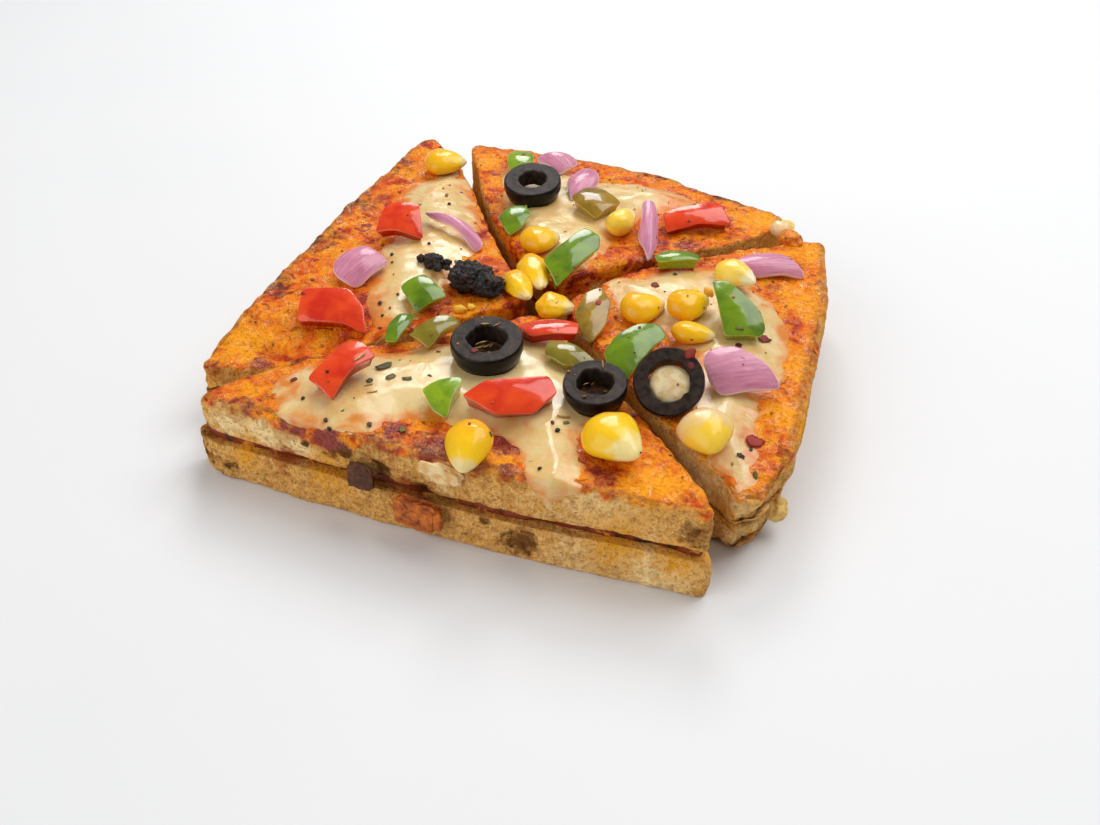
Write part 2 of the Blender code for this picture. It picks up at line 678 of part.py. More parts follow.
def build_knob(index, knob):
    """A lump turned to face outwards from the crust."""
    laid = Laid(f"knob_{index}", "toast", knob.x, knob.y, knob.facing, 0, 0, knob.size)
    piece = lump(laid, seed=knob.seed)
    piece.location = (knob.x * MM, knob.y * MM, knob.z * MM)
    piece.rotation_euler.z = math.radians(knob.facing + 90.0)
    return piece


def build_ooze(quarter):
    """What hangs outside the crust, with the necks that pass back through the seam."""
    pieces = []
    for index, ooze in enumerate(OOZE.get(quarter.name, ())):
        drop = build_knob(index, ooze)
        facing = math.radians(ooze.facing)
        outward = np.array([math.cos(facing), math.sin(facing)])
        root = np.array([ooze.x, ooze.y]) - outward * OOZE_NECK[1] / 2.0
        seam = quarter.above_seam(root[None], GAP + FILLING_THICKNESS / 2.0)[0]
        bm = bmesh.new()
        bmesh.ops.create_cube(bm, size=1.0)
        bmesh.ops.scale(bm, vec=Vector(OOZE_NECK) * MM, verts=bm.verts[:])
        neck = new_object(f"neck_{index}", "filling", finish_mesh(bm, f"neck_{index}"))
        neck.location = (root[0] * MM, root[1] * MM, seam * MM)
        neck.rotation_euler.z = drop.rotation_euler.z
        pieces += [drop, neck]
    return pieces


def world_bmesh(piece):
    """A piece's evaluated mesh, in world space."""
    bpy.context.view_layer.update()
    bm = bmesh.new()
    bm.from_mesh(piece.evaluated_get(bpy.context.evaluated_depsgraph_get()).data)
    bm.transform(piece.matrix_world)
    return bm


class Ground:
    """The height of everything laid so far, over the cells of the plan."""

    def __init__(self):
        self.axis = np.arange(-PLAN_REACH, PLAN_REACH, CELL)
        self.height = np.zeros((len(self.axis), len(self.axis)))

    def cast(self, piece, way):
        """Heights where rays along z, down or up, first meet a piece, and the cells they cross."""
        bm = world_bmesh(piece)
        tree = BVHTree.FromBMesh(bm)
        corners = np.array([vert.co for vert in bm.verts]) / MM
        bm.free()
        first = np.searchsorted(self.axis, corners.min(axis=0)[:2]) - 1
        last = np.searchsorted(self.axis, corners.max(axis=0)[:2]) + 1
        heights = np.full(last - first, np.nan)
        for i, j in np.ndindex(heights.shape):
            x, y = self.axis[first[0] + i], self.axis[first[1] + j]
            start = Vector((x * MM, y * MM, -way))
            hit = tree.ray_cast(start, Vector((0.0, 0.0, way)))[0]
            if hit:
                heights[i, j] = hit.z / MM
        return heights, (slice(first[0], last[0]), slice(first[1], last[1]))

    def add(self, piece):
        """Raise the ground to the top of a piece."""
        heights, cells = self.cast(piece, -1.0)
        self.height[cells] = np.fmax(self.height[cells], heights)

    def settle(self, piece):
        """Lower a piece until it just clears what lies under it and beside it."""
        under, cells = self.cast(piece, 1.0)
        padded = np.pad(self.height, 1, mode="edge")
        size = len(self.axis)
        spread = np.max([padded[i : i + size, j : j + size] for i in range(3) for j in range(3)], axis=0)
        drop = np.nanmin(under - spread[cells]) - CLEARANCE
        piece.location.z -= drop * MM
        self.add(piece)


def lay(ground, make, laid):
    """Build a piece, turn it and let it settle on what is already there."""
    piece = make(laid, **laid.shape)
    heading = Matrix.Rotation(math.radians(laid.heading), 3, "Z")
    lift = Matrix.Rotation(math.radians(-laid.lift), 3, "Y")
    lean = Matrix.Rotation(math.radians(laid.lean), 3, "X")
    piece.rotation_euler = (heading @ lift @ lean).to_euler()
    piece.location = (laid.x * MM, laid.y * MM, 0.0)
    ground.settle(piece)


def clear_scene():
    """Empty the scene and make the collection, its centre and the materials."""
    for old in list(bpy.data.objects):
        bpy.data.objects.remove(old, do_unlink=True)
    collection = bpy.data.collections.new(OBJECT_NAME)
    bpy.context.scene.collection.children.link(collection)
    collection.objects.link(bpy.data.objects.new(CENTRE_NAME, None))
    for name, (colour, roughness) in FINISHES.items():
        material = bpy.data.materials.new(name)
        material.use_nodes = True
        shader = material.node_tree.nodes["Principled BSDF"]
        shader.inputs["Base Color"].default_value = (*colour, 1.0)
        shader.inputs["Roughness"].default_value = roughness
        shader.inputs["Metallic"].default_value = 0.0


def centre_on_origin():
    """Move the sandwich so that the middle of its underside is the origin."""
    pieces = [piece for piece in bpy.data.collections[OBJECT_NAME].objects if piece.type == "MESH"]
    corners = []
    for piece in pieces:
        bm = world_bmesh(piece)
        corners += [tuple(vert.co) for vert in bm.verts]
        bm.free()
    low, high = np.min(corners, axis=0), np.max(corners, axis=0)
    middle = (low + high) / 2.0
    bpy.data.objects[CENTRE_NAME].location = (-middle[0], -middle[1], -low[2])


def main():
    """Build the sandwich from the board up."""
    clear_scene()
    for quarter in QUARTERS:
        build_bread(quarter)
        build_cheese(quarter)
    ground = Ground()
    for piece in list(bpy.data.collections[OBJECT_NAME].objects):
        if piece.name.startswith(("upper_slice", "cheese")):
            ground.add(piece)
    for make, laid in LAID:
        lay(ground, make, laid)
    centre_on_origin()


main()
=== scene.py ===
"""Dresses the toasted pizza sandwich: its bread, filling, melted cheese, vegetables and herbs.

Lengths are in millimetres in the sandwich's plan, with x to the right along the front crust,
y away from it and z up. They become metres about the middle of the underside when a mesh is
made. Each shape is worked out as whole arrays of points.
"""

import logging
import math
from dataclasses import dataclass, field
from enum import Enum
from functools import lru_cache
from typing import Callable, ClassVar

import bpy
import numpy as np
from mathutils import Matrix, Vector, noise
from mathutils.bvhtree import BVHTree


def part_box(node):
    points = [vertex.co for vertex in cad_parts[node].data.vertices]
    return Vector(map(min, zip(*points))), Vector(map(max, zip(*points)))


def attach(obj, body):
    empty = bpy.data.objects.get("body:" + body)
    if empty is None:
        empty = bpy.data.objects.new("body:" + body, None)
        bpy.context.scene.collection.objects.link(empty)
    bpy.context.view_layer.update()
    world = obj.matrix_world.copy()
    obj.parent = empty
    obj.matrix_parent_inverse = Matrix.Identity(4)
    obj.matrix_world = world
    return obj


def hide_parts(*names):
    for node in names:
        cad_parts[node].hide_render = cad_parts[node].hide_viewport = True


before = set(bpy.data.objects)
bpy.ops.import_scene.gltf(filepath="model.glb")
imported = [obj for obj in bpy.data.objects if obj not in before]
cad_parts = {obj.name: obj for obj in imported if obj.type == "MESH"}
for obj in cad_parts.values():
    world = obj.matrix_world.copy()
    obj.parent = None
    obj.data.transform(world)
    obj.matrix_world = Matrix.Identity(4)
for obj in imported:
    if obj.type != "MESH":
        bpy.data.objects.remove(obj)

Array = np.ndarray
Socket = bpy.types.NodeSocket
Material = bpy.types.Material
Piece = bpy.types.Object
Colour = tuple[float, float, float, float]
Height = Callable[[Array], Array]
Place = tuple[float, float]
Size = tuple[float, float, float]
# A corner is its x and y and how far its rounding reaches.
Corner = tuple[float, float, float]
# A spot is the x, y and z of a mark on the bread, how far it reaches and how strong it is.
Spot = tuple[float, float, float, float, float]

LOG = logging.getLogger("pizza_sandwich")
MM = 0.001

# Heights of the two slices' upper sides, of the filling, and of the gap on each side of it.
LOWER_TOP = 9.4
UPPER_TOP = 20.8
FILLING_THICKNESS = 1.2
GAP = 0.35

# A topping sinks in by PRESS, and is lowered from its solid's height by MOST_SETTLING at most,
# along the camera's line of sight, so that it stays where the photo shows it.
PRESS = 0.25
MOST_SETTLING = 1.8
SIGHT = (-0.27649, 0.73132, -0.62347)

# The solids' own unevenness: how high its waves are, how long, and which of them.
SEAM_WAVE, SEAM_LENGTH, SEAM_SEED = 0.5, 26.0, 3.0
TOP_WAVE, TOP_LENGTH, TOP_SEED = 0.4, 16.0, 5.0
EDGE_WAVE, EDGE_LENGTH = 0.4, 9.0
LOWER_SEED, FILLING_SEED, UPPER_SEED = 11.0, 17.0, 23.0
PLAN_REACH = 84.0

# How much of a press in the top the seam takes up.
SEAM_SHARE = 0.4
CRUST_SHOULDER = 1.1
CUT_SHOULDER = 0.8
CRUST_BULGE = 0.5
FILLING_INSET = 1.0

# An outline's points lie so far apart, and so many finer steps go between each two.
COARSE_STEP = 6.5
FINE_STEPS = 9
# Where the points of a rounded corner lie along its curve.
BEND = (0.0, 0.35, 0.65, 1.0)

# The level of a skin's rows on its underside and on its top, and how they close up outwards.
UNDERSIDE, TOPSIDE = -1.0, 2.0
CROWDING = 1.15

# The middle of the left olive ring in the plan.
LEFT_OLIVE = (3.1, -35.4)


def plan_shift() -> Array:
    """How far the plan's zero lies from the model's, read from a ring of known place.

    Returns:
        The shift in x, y and z, in millimetres.
    """
    low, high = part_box("olive_left")
    middle = (np.array(low) + np.array(high)) / 2.0 / MM
    return np.array([middle[0] - LEFT_OLIVE[0], middle[1] - LEFT_OLIVE[1], 0.0])


SHIFT = plan_shift()


# Randomness and unevenness


def scramble(cells: Array, seed: int) -> Array:
    """A repeatable random value for each whole-number cell.

    The cell's three indices are multiplied by large odd numbers, mixed bit by bit with the
    seed, and cut down to the range from zero to one.

    Args:
        cells: Whole numbers, three to a cell along the last axis.
        seed: Which set of values to give.

    Returns:
        Values from 0 to 1, one to a cell.
    """
    mixed = cells[..., 0] * 73856093 ^ cells[..., 1] * 19349663 ^ cells[..., 2] * 83492791
    mixed = (mixed ^ (seed * 40503 + 977)) & 0x7FFFFFFF
    mixed = ((mixed ^ (mixed >> 13)) * 1274126177) & 0x7FFFFFFF
    mixed = ((mixed ^ (mixed >> 15)) * 668265263) & 0x7FFFFFFF
    return ((mixed ^ (mixed >> 12)) & 0xFFFFF) / 0xFFFFF


def in_space(points: Array) -> Array:
    """Points of the plan or of space, as points of space."""
    if points.shape[-1] == 3:
        return points
    return np.concatenate([points, np.zeros(points.shape[:-1] + (1,))], axis=-1)


def ripple(points: Array, size: float, seed: int) -> Array:
    """Smooth noise: random values at the corners of cells, blended by an S-curve between them.

    Args:
        points: Places in the plan or in space, in millimetres.
        size: Width of a cell in millimetres.
        seed: Which noise to give.

    Returns:
        A value from -1 to 1 for each place.
    """
    scaled = in_space(points) / size
    base = np.floor(scaled).astype(np.int64)
    part = scaled - base
    part = part * part * (3.0 - 2.0 * part)
    total = np.zeros(scaled.shape[:-1])
    for corner in np.ndindex(2, 2, 2):
        weight = np.prod(np.where(np.array(corner) == 1, part, 1.0 - part), axis=-1)
        total += weight * scramble(base + np.array(corner), seed)
    return 2.0 * total - 1.0


def rough(points: Array, size: float, seed: int, octaves: int = 3) -> Array:
    """Ripples of halving size and height added together, between about -1 and 1."""
    layers = [ripple(points, size / 2**k, seed + 31 * k) / 2**k for k in range(octaves)]
    return np.sum(layers, axis=0) / (2.0 - 0.5 ** (octaves - 1))


def pores(points: Array, size: float, seed: int) -> Array:
    """Round holes: how near each place is to the closest random middle in the cells about it.

    Args:
        points: Places in the plan or in space, in millimetres.
        size: Mean distance between two holes in millimetres.
        seed: Which set of holes to give.

    Returns:
        1 at a hole's middle, falling to 0 at its rim, and 0 between the holes.
    """
    scaled = in_space(points) / size
    base = np.floor(scaled).astype(np.int64)
    depth = np.zeros(scaled.shape[:-1])
    for corner in np.ndindex(3, 3, 3):
        cell = base + np.array(corner) - 1
        middle = cell + np.stack([scramble(cell, seed + k) for k in range(3)], axis=-1)
        reach = 0.12 + 0.33 * scramble(cell, seed + 7) ** 2
        away = np.linalg.norm(scaled - middle, axis=-1) / reach
        depth = np.maximum(depth, np.sqrt(np.clip(1.0 - away**2, 0.0, 1.0)))
    return depth


@lru_cache(maxsize=None)
def noise_table(size: float, seed: float) -> tuple[Array, float]:
    """The solids' own noise at the nodes of a square lattice over the plan, and its step."""
    step = size / 6.0
    axis = np.arange(-PLAN_REACH, PLAN_REACH + step, step)
    rows = [[noise.noise(Vector((x / size, y / size, seed))) for y in axis] for x in axis]
    return np.array(rows), step


def lumps(points: Array, size: float, seed: float) -> Array:
    """The solids' unevenness, read between the nodes of its table in straight lines."""
    table, step = noise_table(size, seed)
    place = (points[..., :2] + PLAN_REACH) / step
    base = np.clip(np.floor(place).astype(int), 0, len(table) - 2)
    u, v = np.moveaxis(np.clip(place - base, 0.0, 1.0), -1, 0)
    i, j = base[..., 0], base[..., 1]
    near = table[i, j] * (1.0 - v) + table[i, j + 1] * v
    far = table[i + 1, j] * (1.0 - v) + table[i + 1, j + 1] * v
    return near * (1.0 - u) + far * u


def smooth_step(values: Array, low: float, high: float) -> Array:
    """An S-curve from 0 at the low value to 1 at the high one."""
    part = np.clip((values - low) / (high - low), 0.0, 1.0)
    return part * part * (3.0 - 2.0 * part)


# Outlines in the plan


def rounded(corners: tuple[Corner, ...]) -> Array:
    """Round each corner of a closed outline with a curve between its two sides."""
    points = []
    for index, (x, y, reach) in enumerate(corners):
        corner = np.array((x, y), float)
        ends = []
        for other in (corners[index - 1], corners[(index + 1) % len(corners)]):
            side = np.array(other[:2]) - corner
            length = np.linalg.norm(side)
            ends.append(corner + side / length * min(reach, 0.45 * length))
        for t in BEND:
            points.append((1 - t) ** 2 * ends[0] + 2 * t * (1 - t) * corner + t * t * ends[1])
    return np.array(points)


def smooth_loop(corners: Array, steps: int) -> Array:
    """A closed Catmull-Rom curve through the corners, with some steps between each two."""
    here = np.array(corners, float)
    t = (np.arange(steps) / steps)[None, :, None]
    b, h, a, f = (np.roll(here, shift, axis=0)[:, None, :] for shift in (1, 0, -1, -2))
    curve = 0.5 * (
        2 * h + (a - b) * t + (2 * b - 5 * h + 4 * a - f) * t**2 + (3 * h - b - 3 * a + f) * t**3
    )
    return curve.reshape(-1, here.shape[1])


def resample(outline: Array, spacing: float) -> tuple[Array, Array]:
    """Walk a closed outline in equal steps.

    Args:
        outline: The outline's corners.
        spacing: About how far apart the steps are.

    Returns:
        The steps' places, and how far along the corners each of them is.
    """
    closed = np.vstack([outline, outline[:1]])
    lengths = np.linalg.norm(np.diff(closed, axis=0), axis=1)
    reached = np.concatenate([[0.0], np.cumsum(lengths)])
    steps = np.linspace(0.0, reached[-1], round(reached[-1] / spacing), endpoint=False)
    walked = np.stack([np.interp(steps, reached, closed[:, axis]) for axis in (0, 1)], axis=1)
    return walked, np.interp(steps, reached, np.arange(len(closed)))


def outward(outline: Array) -> Array:
    """Outward direction at each point of an anticlockwise outline."""
    along = np.roll(outline, -1, axis=0) - np.roll(outline, 1, axis=0)
    out = np.stack([along[:, 1], -along[:, 0]], axis=1)
    return out / np.maximum(np.linalg.norm(out, axis=1), 1e-9)[:, None]


def nearest_rim(points: Array, outline: Array) -> tuple[Array, Array, Array]:
    """Distance from each point to an outline, the nearest place on it and that place's side."""
    start, end = outline[None], np.roll(outline, -1, axis=0)[None]
    side, reach = end - start, points[:, None] - start
    t = np.clip((reach * side).sum(2) / (side * side).sum(2), 0.0, 1.0)
    places = start + t[..., None] * side
    away = np.linalg.norm(points[:, None] - places, axis=2)
    index = away.argmin(axis=1)
    rows = np.arange(len(points))
    nearest = (index + (t[rows, index] > 0.5)) % len(outline)
    return away[rows, index], places[rows, index], nearest


def inside(points: Array, outline: Array) -> Array:
    """Which points lie inside an outline, by counting the sides to their right."""
    (x0, y0), (x1, y1) = outline.T, np.roll(outline, -1, axis=0).T
    x, y = points[:, :1], points[:, 1:]
    spans = (y0 > y) != (y1 > y)
    rise = np.where(y1 == y0, 1.0, y1 - y0)
    return (spans & (x < x0 + (y - y0) * (x1 - x0) / rise)).sum(axis=1) % 2 == 1


def rotation(axis: str, degrees: float) -> Matrix:
    """A turn about an axis."""
    return Matrix.Rotation(math.radians(degrees), 3, axis)


# Skins and meshes


@dataclass
class Skin:
    """A closed skin: rows from one pole to the other, each a ring of the same columns.

    The first and last row are one place each. A row's level is UNDERSIDE below, rises from 0
    to 1 up the wall and is TOPSIDE above, and its facing is the direction it looks in.
    """

    points: Array
    facing: Array
    level: Array

    @property
    def on_wall(self) -> Array:
        """1 for each row of the wall and 0 for the others, as a column."""
        level = self.level[:, None]
        return ((level >= 0.0) & (level <= 1.0)).astype(float)

    @property
    def on_top(self) -> Array:
        """1 for each row of the top and 0 for the others, as a column."""
        return (self.level[:, None] > 1.0).astype(float)

    def flat(self, values: Array) -> Array:
        """Rows by columns of values as one list, with a single entry for each pole."""
        rest = values[1:-1].reshape((-1,) + values.shape[2:])
        return np.concatenate([values[:1, 0], rest, values[-1:, 0]])

    def faces(self) -> list[list[int]]:
        """Squares between the rings and triangles round the two poles, facing outwards."""
        rows, columns = self.points.shape[0] - 2, self.points.shape[1]
        ring = np.arange(columns)
        after = np.roll(ring, -1)
        first = 1 + ring
        last = 1 + (rows - 1) * columns + ring
        start = 1 + (np.arange(rows - 1) * columns)[:, None]
        squares = np.stack(
            [start + ring, start + after, start + columns + after, start + columns + ring], axis=-1
        )
        under = np.stack([np.zeros(columns, int), 1 + after, first], axis=-1)
        over = np.stack([last, last[after], np.full(columns, 1 + rows * columns)], axis=-1)
        return under.tolist() + squares.reshape(-1, 4).tolist() + over.tolist()


@dataclass(frozen=True)
class Rings:
    """How many rows a slab has under it, round each shoulder, up its wall and on top."""

    under: int
    shoulder: int
    wall: int
    top: int


def slab(
    outline: Array, lower: Height, upper: Height, soft: tuple[Array, Array], rings: Rings
) -> Skin:
    """The skin of a flat piece between two heights.

    Each column starts in the middle of the underside, runs out to the rim, follows a quarter
    circle up into the wall and another over onto the top, and runs back to the middle. The
    circles' radii are the shoulders' and the rows close up towards the rim.

    Args:
        outline: Corners of the rim in the plan, anticlockwise.
        lower: Height of the underside over the plan.
        upper: Height of the top over the plan.
        soft: Radius of the lower and of the upper shoulder, for each corner of the rim.
        rings: Numbers of rows.

    Returns:
        The closed skin.
    """
    out, middle = outward(outline), outline.mean(axis=0)
    rims, arcs = [], []
    for radius, side in zip(soft, (-1.0, 1.0)):
        turn = np.linspace(0.0, math.pi / 2.0, rings.shoulder)[:, None]
        inset = radius[None] * (1.0 - np.cos(turn))
        plan = outline[None] - out[None] * inset[..., None]
        edge = outline - out * radius[:, None]
        level = (upper if side > 0 else lower)(edge)[None]
        height = level - side * radius[None] * (1 - np.sin(turn))
        upwards = np.broadcast_to(side * np.sin(turn)[..., None], plan.shape[:2] + (1,))
        facing = np.concatenate([out[None] * np.cos(turn)[..., None], upwards], axis=-1)
        arcs.append((np.concatenate([plan, height[..., None]], axis=-1), facing))
        rims.append(edge)
    (low_arc, low_facing), (high_arc, high_facing) = arcs
    climb = np.linspace(0.0, 1.0, rings.wall + 2)[1:-1, None, None]
    wall = low_arc[0] * (1 - climb) + high_arc[0] * climb
    wall_facing = np.broadcast_to(low_facing[0], wall.shape)
    flats = []
    for edge, height, count, side in (
        (rims[0], lower, rings.under, -1.0),
        (rims[1], upper, rings.top, 1.0),
    ):
        reach = np.linspace(0.0, 1.0, count + 1)[1:, None, None] ** CROWDING
        plan = edge * (1 - reach) + middle * reach
        points = np.concatenate([plan, height(plan)[..., None]], axis=-1)
        flats.append((points, np.broadcast_to(np.array([0.0, 0.0, side]), points.shape)))
    (under, under_facing), (over, over_facing) = flats
    points = np.concatenate([under[::-1], low_arc[::-1], wall, high_arc, over])
    facing = np.concatenate(
        [under_facing[::-1], low_facing[::-1], wall_facing, high_facing, over_facing]
    )
    rise = np.linspace(0.0, 1.0, 2 * rings.shoulder + rings.wall)
    level = np.concatenate([np.full(rings.under, UNDERSIDE), rise, np.full(rings.top, TOPSIDE)])
    return Skin(points, facing, level)


def ball(rows: int, columns: int) -> Skin:
    """A unit sphere about the x axis, its rows running from x = -1 to x = 1.

    A row's x is minus the cosine of its angle, and y and z turn round it by the sine.
    """
    polar = np.linspace(0.0, math.pi, rows)[:, None]
    round_x = np.linspace(0.0, 2.0 * math.pi, columns, endpoint=False)[None]
    x = np.broadcast_to(-np.cos(polar), (rows, columns))
    y, z = np.sin(polar) * np.cos(round_x), np.sin(polar) * np.sin(round_x)
    points = np.stack([x, y, z], axis=-1)
    return Skin(points, points, (x[:, 0] + 1.0) / 2.0)


@dataclass
class Cloth:
    """What a mesh is made of: points in millimetres, faces and named values for the points."""

    points: Array
    faces: list[list[int]]
    values: dict[str, Array] = field(default_factory=dict)

    def join(self, other: "Cloth") -> "Cloth":
        """This and another as one."""
        shift = len(self.points)
        faces = self.faces + [[corner + shift for corner in face] for face in other.faces]
        values = {
            key: np.concatenate([value, other.values[key]]) for key, value in self.values.items()
        }
        return Cloth(np.vstack([self.points, other.points]), faces, values)


def make_piece(name: str, cloth: Cloth, finish: Material, slot: str) -> Piece:
    """Make a smooth mesh object at the origin and let it ride on the sandwich.

    Args:
        name: The piece's name.
        cloth: Its points in the plan, its faces and its values.
        finish: Its material.
        slot: Not used.

    Returns:
        The new object.
    """
    mesh = bpy.data.meshes.new(name)
    mesh.from_pydata(((cloth.points + SHIFT) * MM).tolist(), [], cloth.faces)
    for key, value in cloth.values.items():
        layer = mesh.attributes.new(key, "FLOAT", "POINT")
        layer.data.foreach_set("value", value.astype(np.float32))
    mesh.shade_smooth()
    mesh.materials.append(finish)
    piece = bpy.data.objects.new(name, mesh)
    bpy.context.scene.collection.objects.link(piece)
    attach(piece, "root")
    return piece


# Finishes


def tint(red: int, green: int, blue: int) -> Colour:
    """A colour as seen, in parts of 255, as the light that it gives back."""
    seen = np.array((red, green, blue)) / 255.0
    light = np.where(seen <= 0.04045, seen / 12.92, ((seen + 0.055) / 1.055) ** 2.4)
    return (*light.tolist(), 1.0)


class Recipe:
    """A material in the making: adds nodes to it and joins them to its shader."""

    def __init__(self, name: str, roughness: float) -> None:
        """Start a material.

        Args:
            name: The material's name.
            roughness: How dull it is all over.
        """
        self.material = bpy.data.materials.new(name)
        self.material.use_nodes = True
        self.tree = self.material.node_tree
        self.shader = self.tree.nodes["Principled BSDF"]
        self.shader.inputs["Roughness"].default_value = roughness
        self.place = self.add("ShaderNodeTexCoord").outputs["Object"]

    def add(self, kind: str, inputs: dict | None = None, **settings: object) -> bpy.types.Node:
        """Add a node with some of its settings and inputs.

        Args:
            kind: Blender's name for the kind of node.
            inputs: What goes into each named or numbered input: a value or an output.
            **settings: The node's own settings.

        Returns:
            The new node.
        """
        node = self.tree.nodes.new(kind)
        for key, value in settings.items():
            setattr(node, key, value)
        for key, value in (inputs or {}).items():
            self.feed(node.inputs[key], value)
        return node

    def feed(self, socket: Socket, value: object) -> None:
        """Put a value into an input, or lead an output to it."""
        if isinstance(value, Socket):
            self.tree.links.new(value, socket)
        else:
            socket.default_value = value

    def value(self, name: str) -> Socket:
        """The value that the mesh carries under a name."""
        return self.add("ShaderNodeAttribute", attribute_name=name).outputs["Fac"]

    def grain(self, size: float, detail: float = 3.0, warp: float = 0.0) -> Socket:
        """Cloudy unevenness with features of a size in millimetres."""
        scale = 1.0 / (size * MM)
        inputs = {"Vector": self.place, "Scale": scale, "Detail": detail, "Distortion": warp}
        return self.add("ShaderNodeTexNoise", inputs).outputs["Fac"]

    def cracks(self, size: float) -> Socket:
        """Distance from the edges between cells of a size in millimetres."""
        inputs = {"Vector": self.place, "Scale": 1.0 / (size * MM)}
        node = self.add("ShaderNodeTexVoronoi", inputs, feature="DISTANCE_TO_EDGE")
        return node.outputs["Distance"]

    def ramp(self, factor: Socket, *stops: tuple[float, Colour]) -> Socket:
        """Colours along a factor, each given with its place."""
        node = self.add("ShaderNodeValToRGB", {"Fac": factor})
        elements = node.color_ramp.elements
        for index, (place, colour) in enumerate(stops):
            element = elements[index] if index < 2 else elements.new(place)
            element.position = place
            element.color = colour
        return node.outputs["Color"]

    def span(
        self, factor: Socket, low: float, high: float, start: float = 0.0, end: float = 1.0
    ) -> Socket:
        """A factor stretched so that its low and high values become the start and the end."""
        source = {"Value": factor, "From Min": low, "From Max": high}
        node = self.add("ShaderNodeMapRange", {**source, "To Min": start, "To Max": end})
        return node.outputs["Result"]

    def mix(self, factor: object, first: object, second: object) -> Socket:
        """One colour over another by a factor."""
        inputs = {0: factor, 6: first, 7: second}
        return self.add("ShaderNodeMix", inputs, data_type="RGBA").outputs[2]

    def blend(self, factor: object, first: object, second: object) -> Socket:
        """One plain value over another by a factor."""
        return self.add("ShaderNodeMix", {0: factor, 2: first, 3: second}).outputs[0]

    def calc(self, operation: str, first: object, second: object, clamp: bool = True) -> Socket:
        """Arithmetic on two values, kept between 0 and 1 unless it is left free."""
        inputs = {0: first, 1: second}
        node = self.add("ShaderNodeMath", inputs, operation=operation, use_clamp=clamp)
        return node.outputs[0]

    def bump(self, height: Socket, depth: float, below: Socket | None = None) -> Socket:
        """Relief of a depth in millimetres, on top of other relief if there is any."""
        inputs = {"Height": height, "Distance": depth * MM, "Strength": 1.0}
        if below is not None:
            inputs["Normal"] = below
        return self.add("ShaderNodeBump", inputs).outputs["Normal"]

    def finish(self, **sockets: object) -> Material:
        """Fill the shader's own sockets, named with underscores for spaces.

        Args:
            **sockets: A value or an output for each socket.

        Returns:
            The finished material.
        """
        for key, value in sockets.items():
            self.feed(self.shader.inputs[key.replace("_", " ")], value)
        return self.material


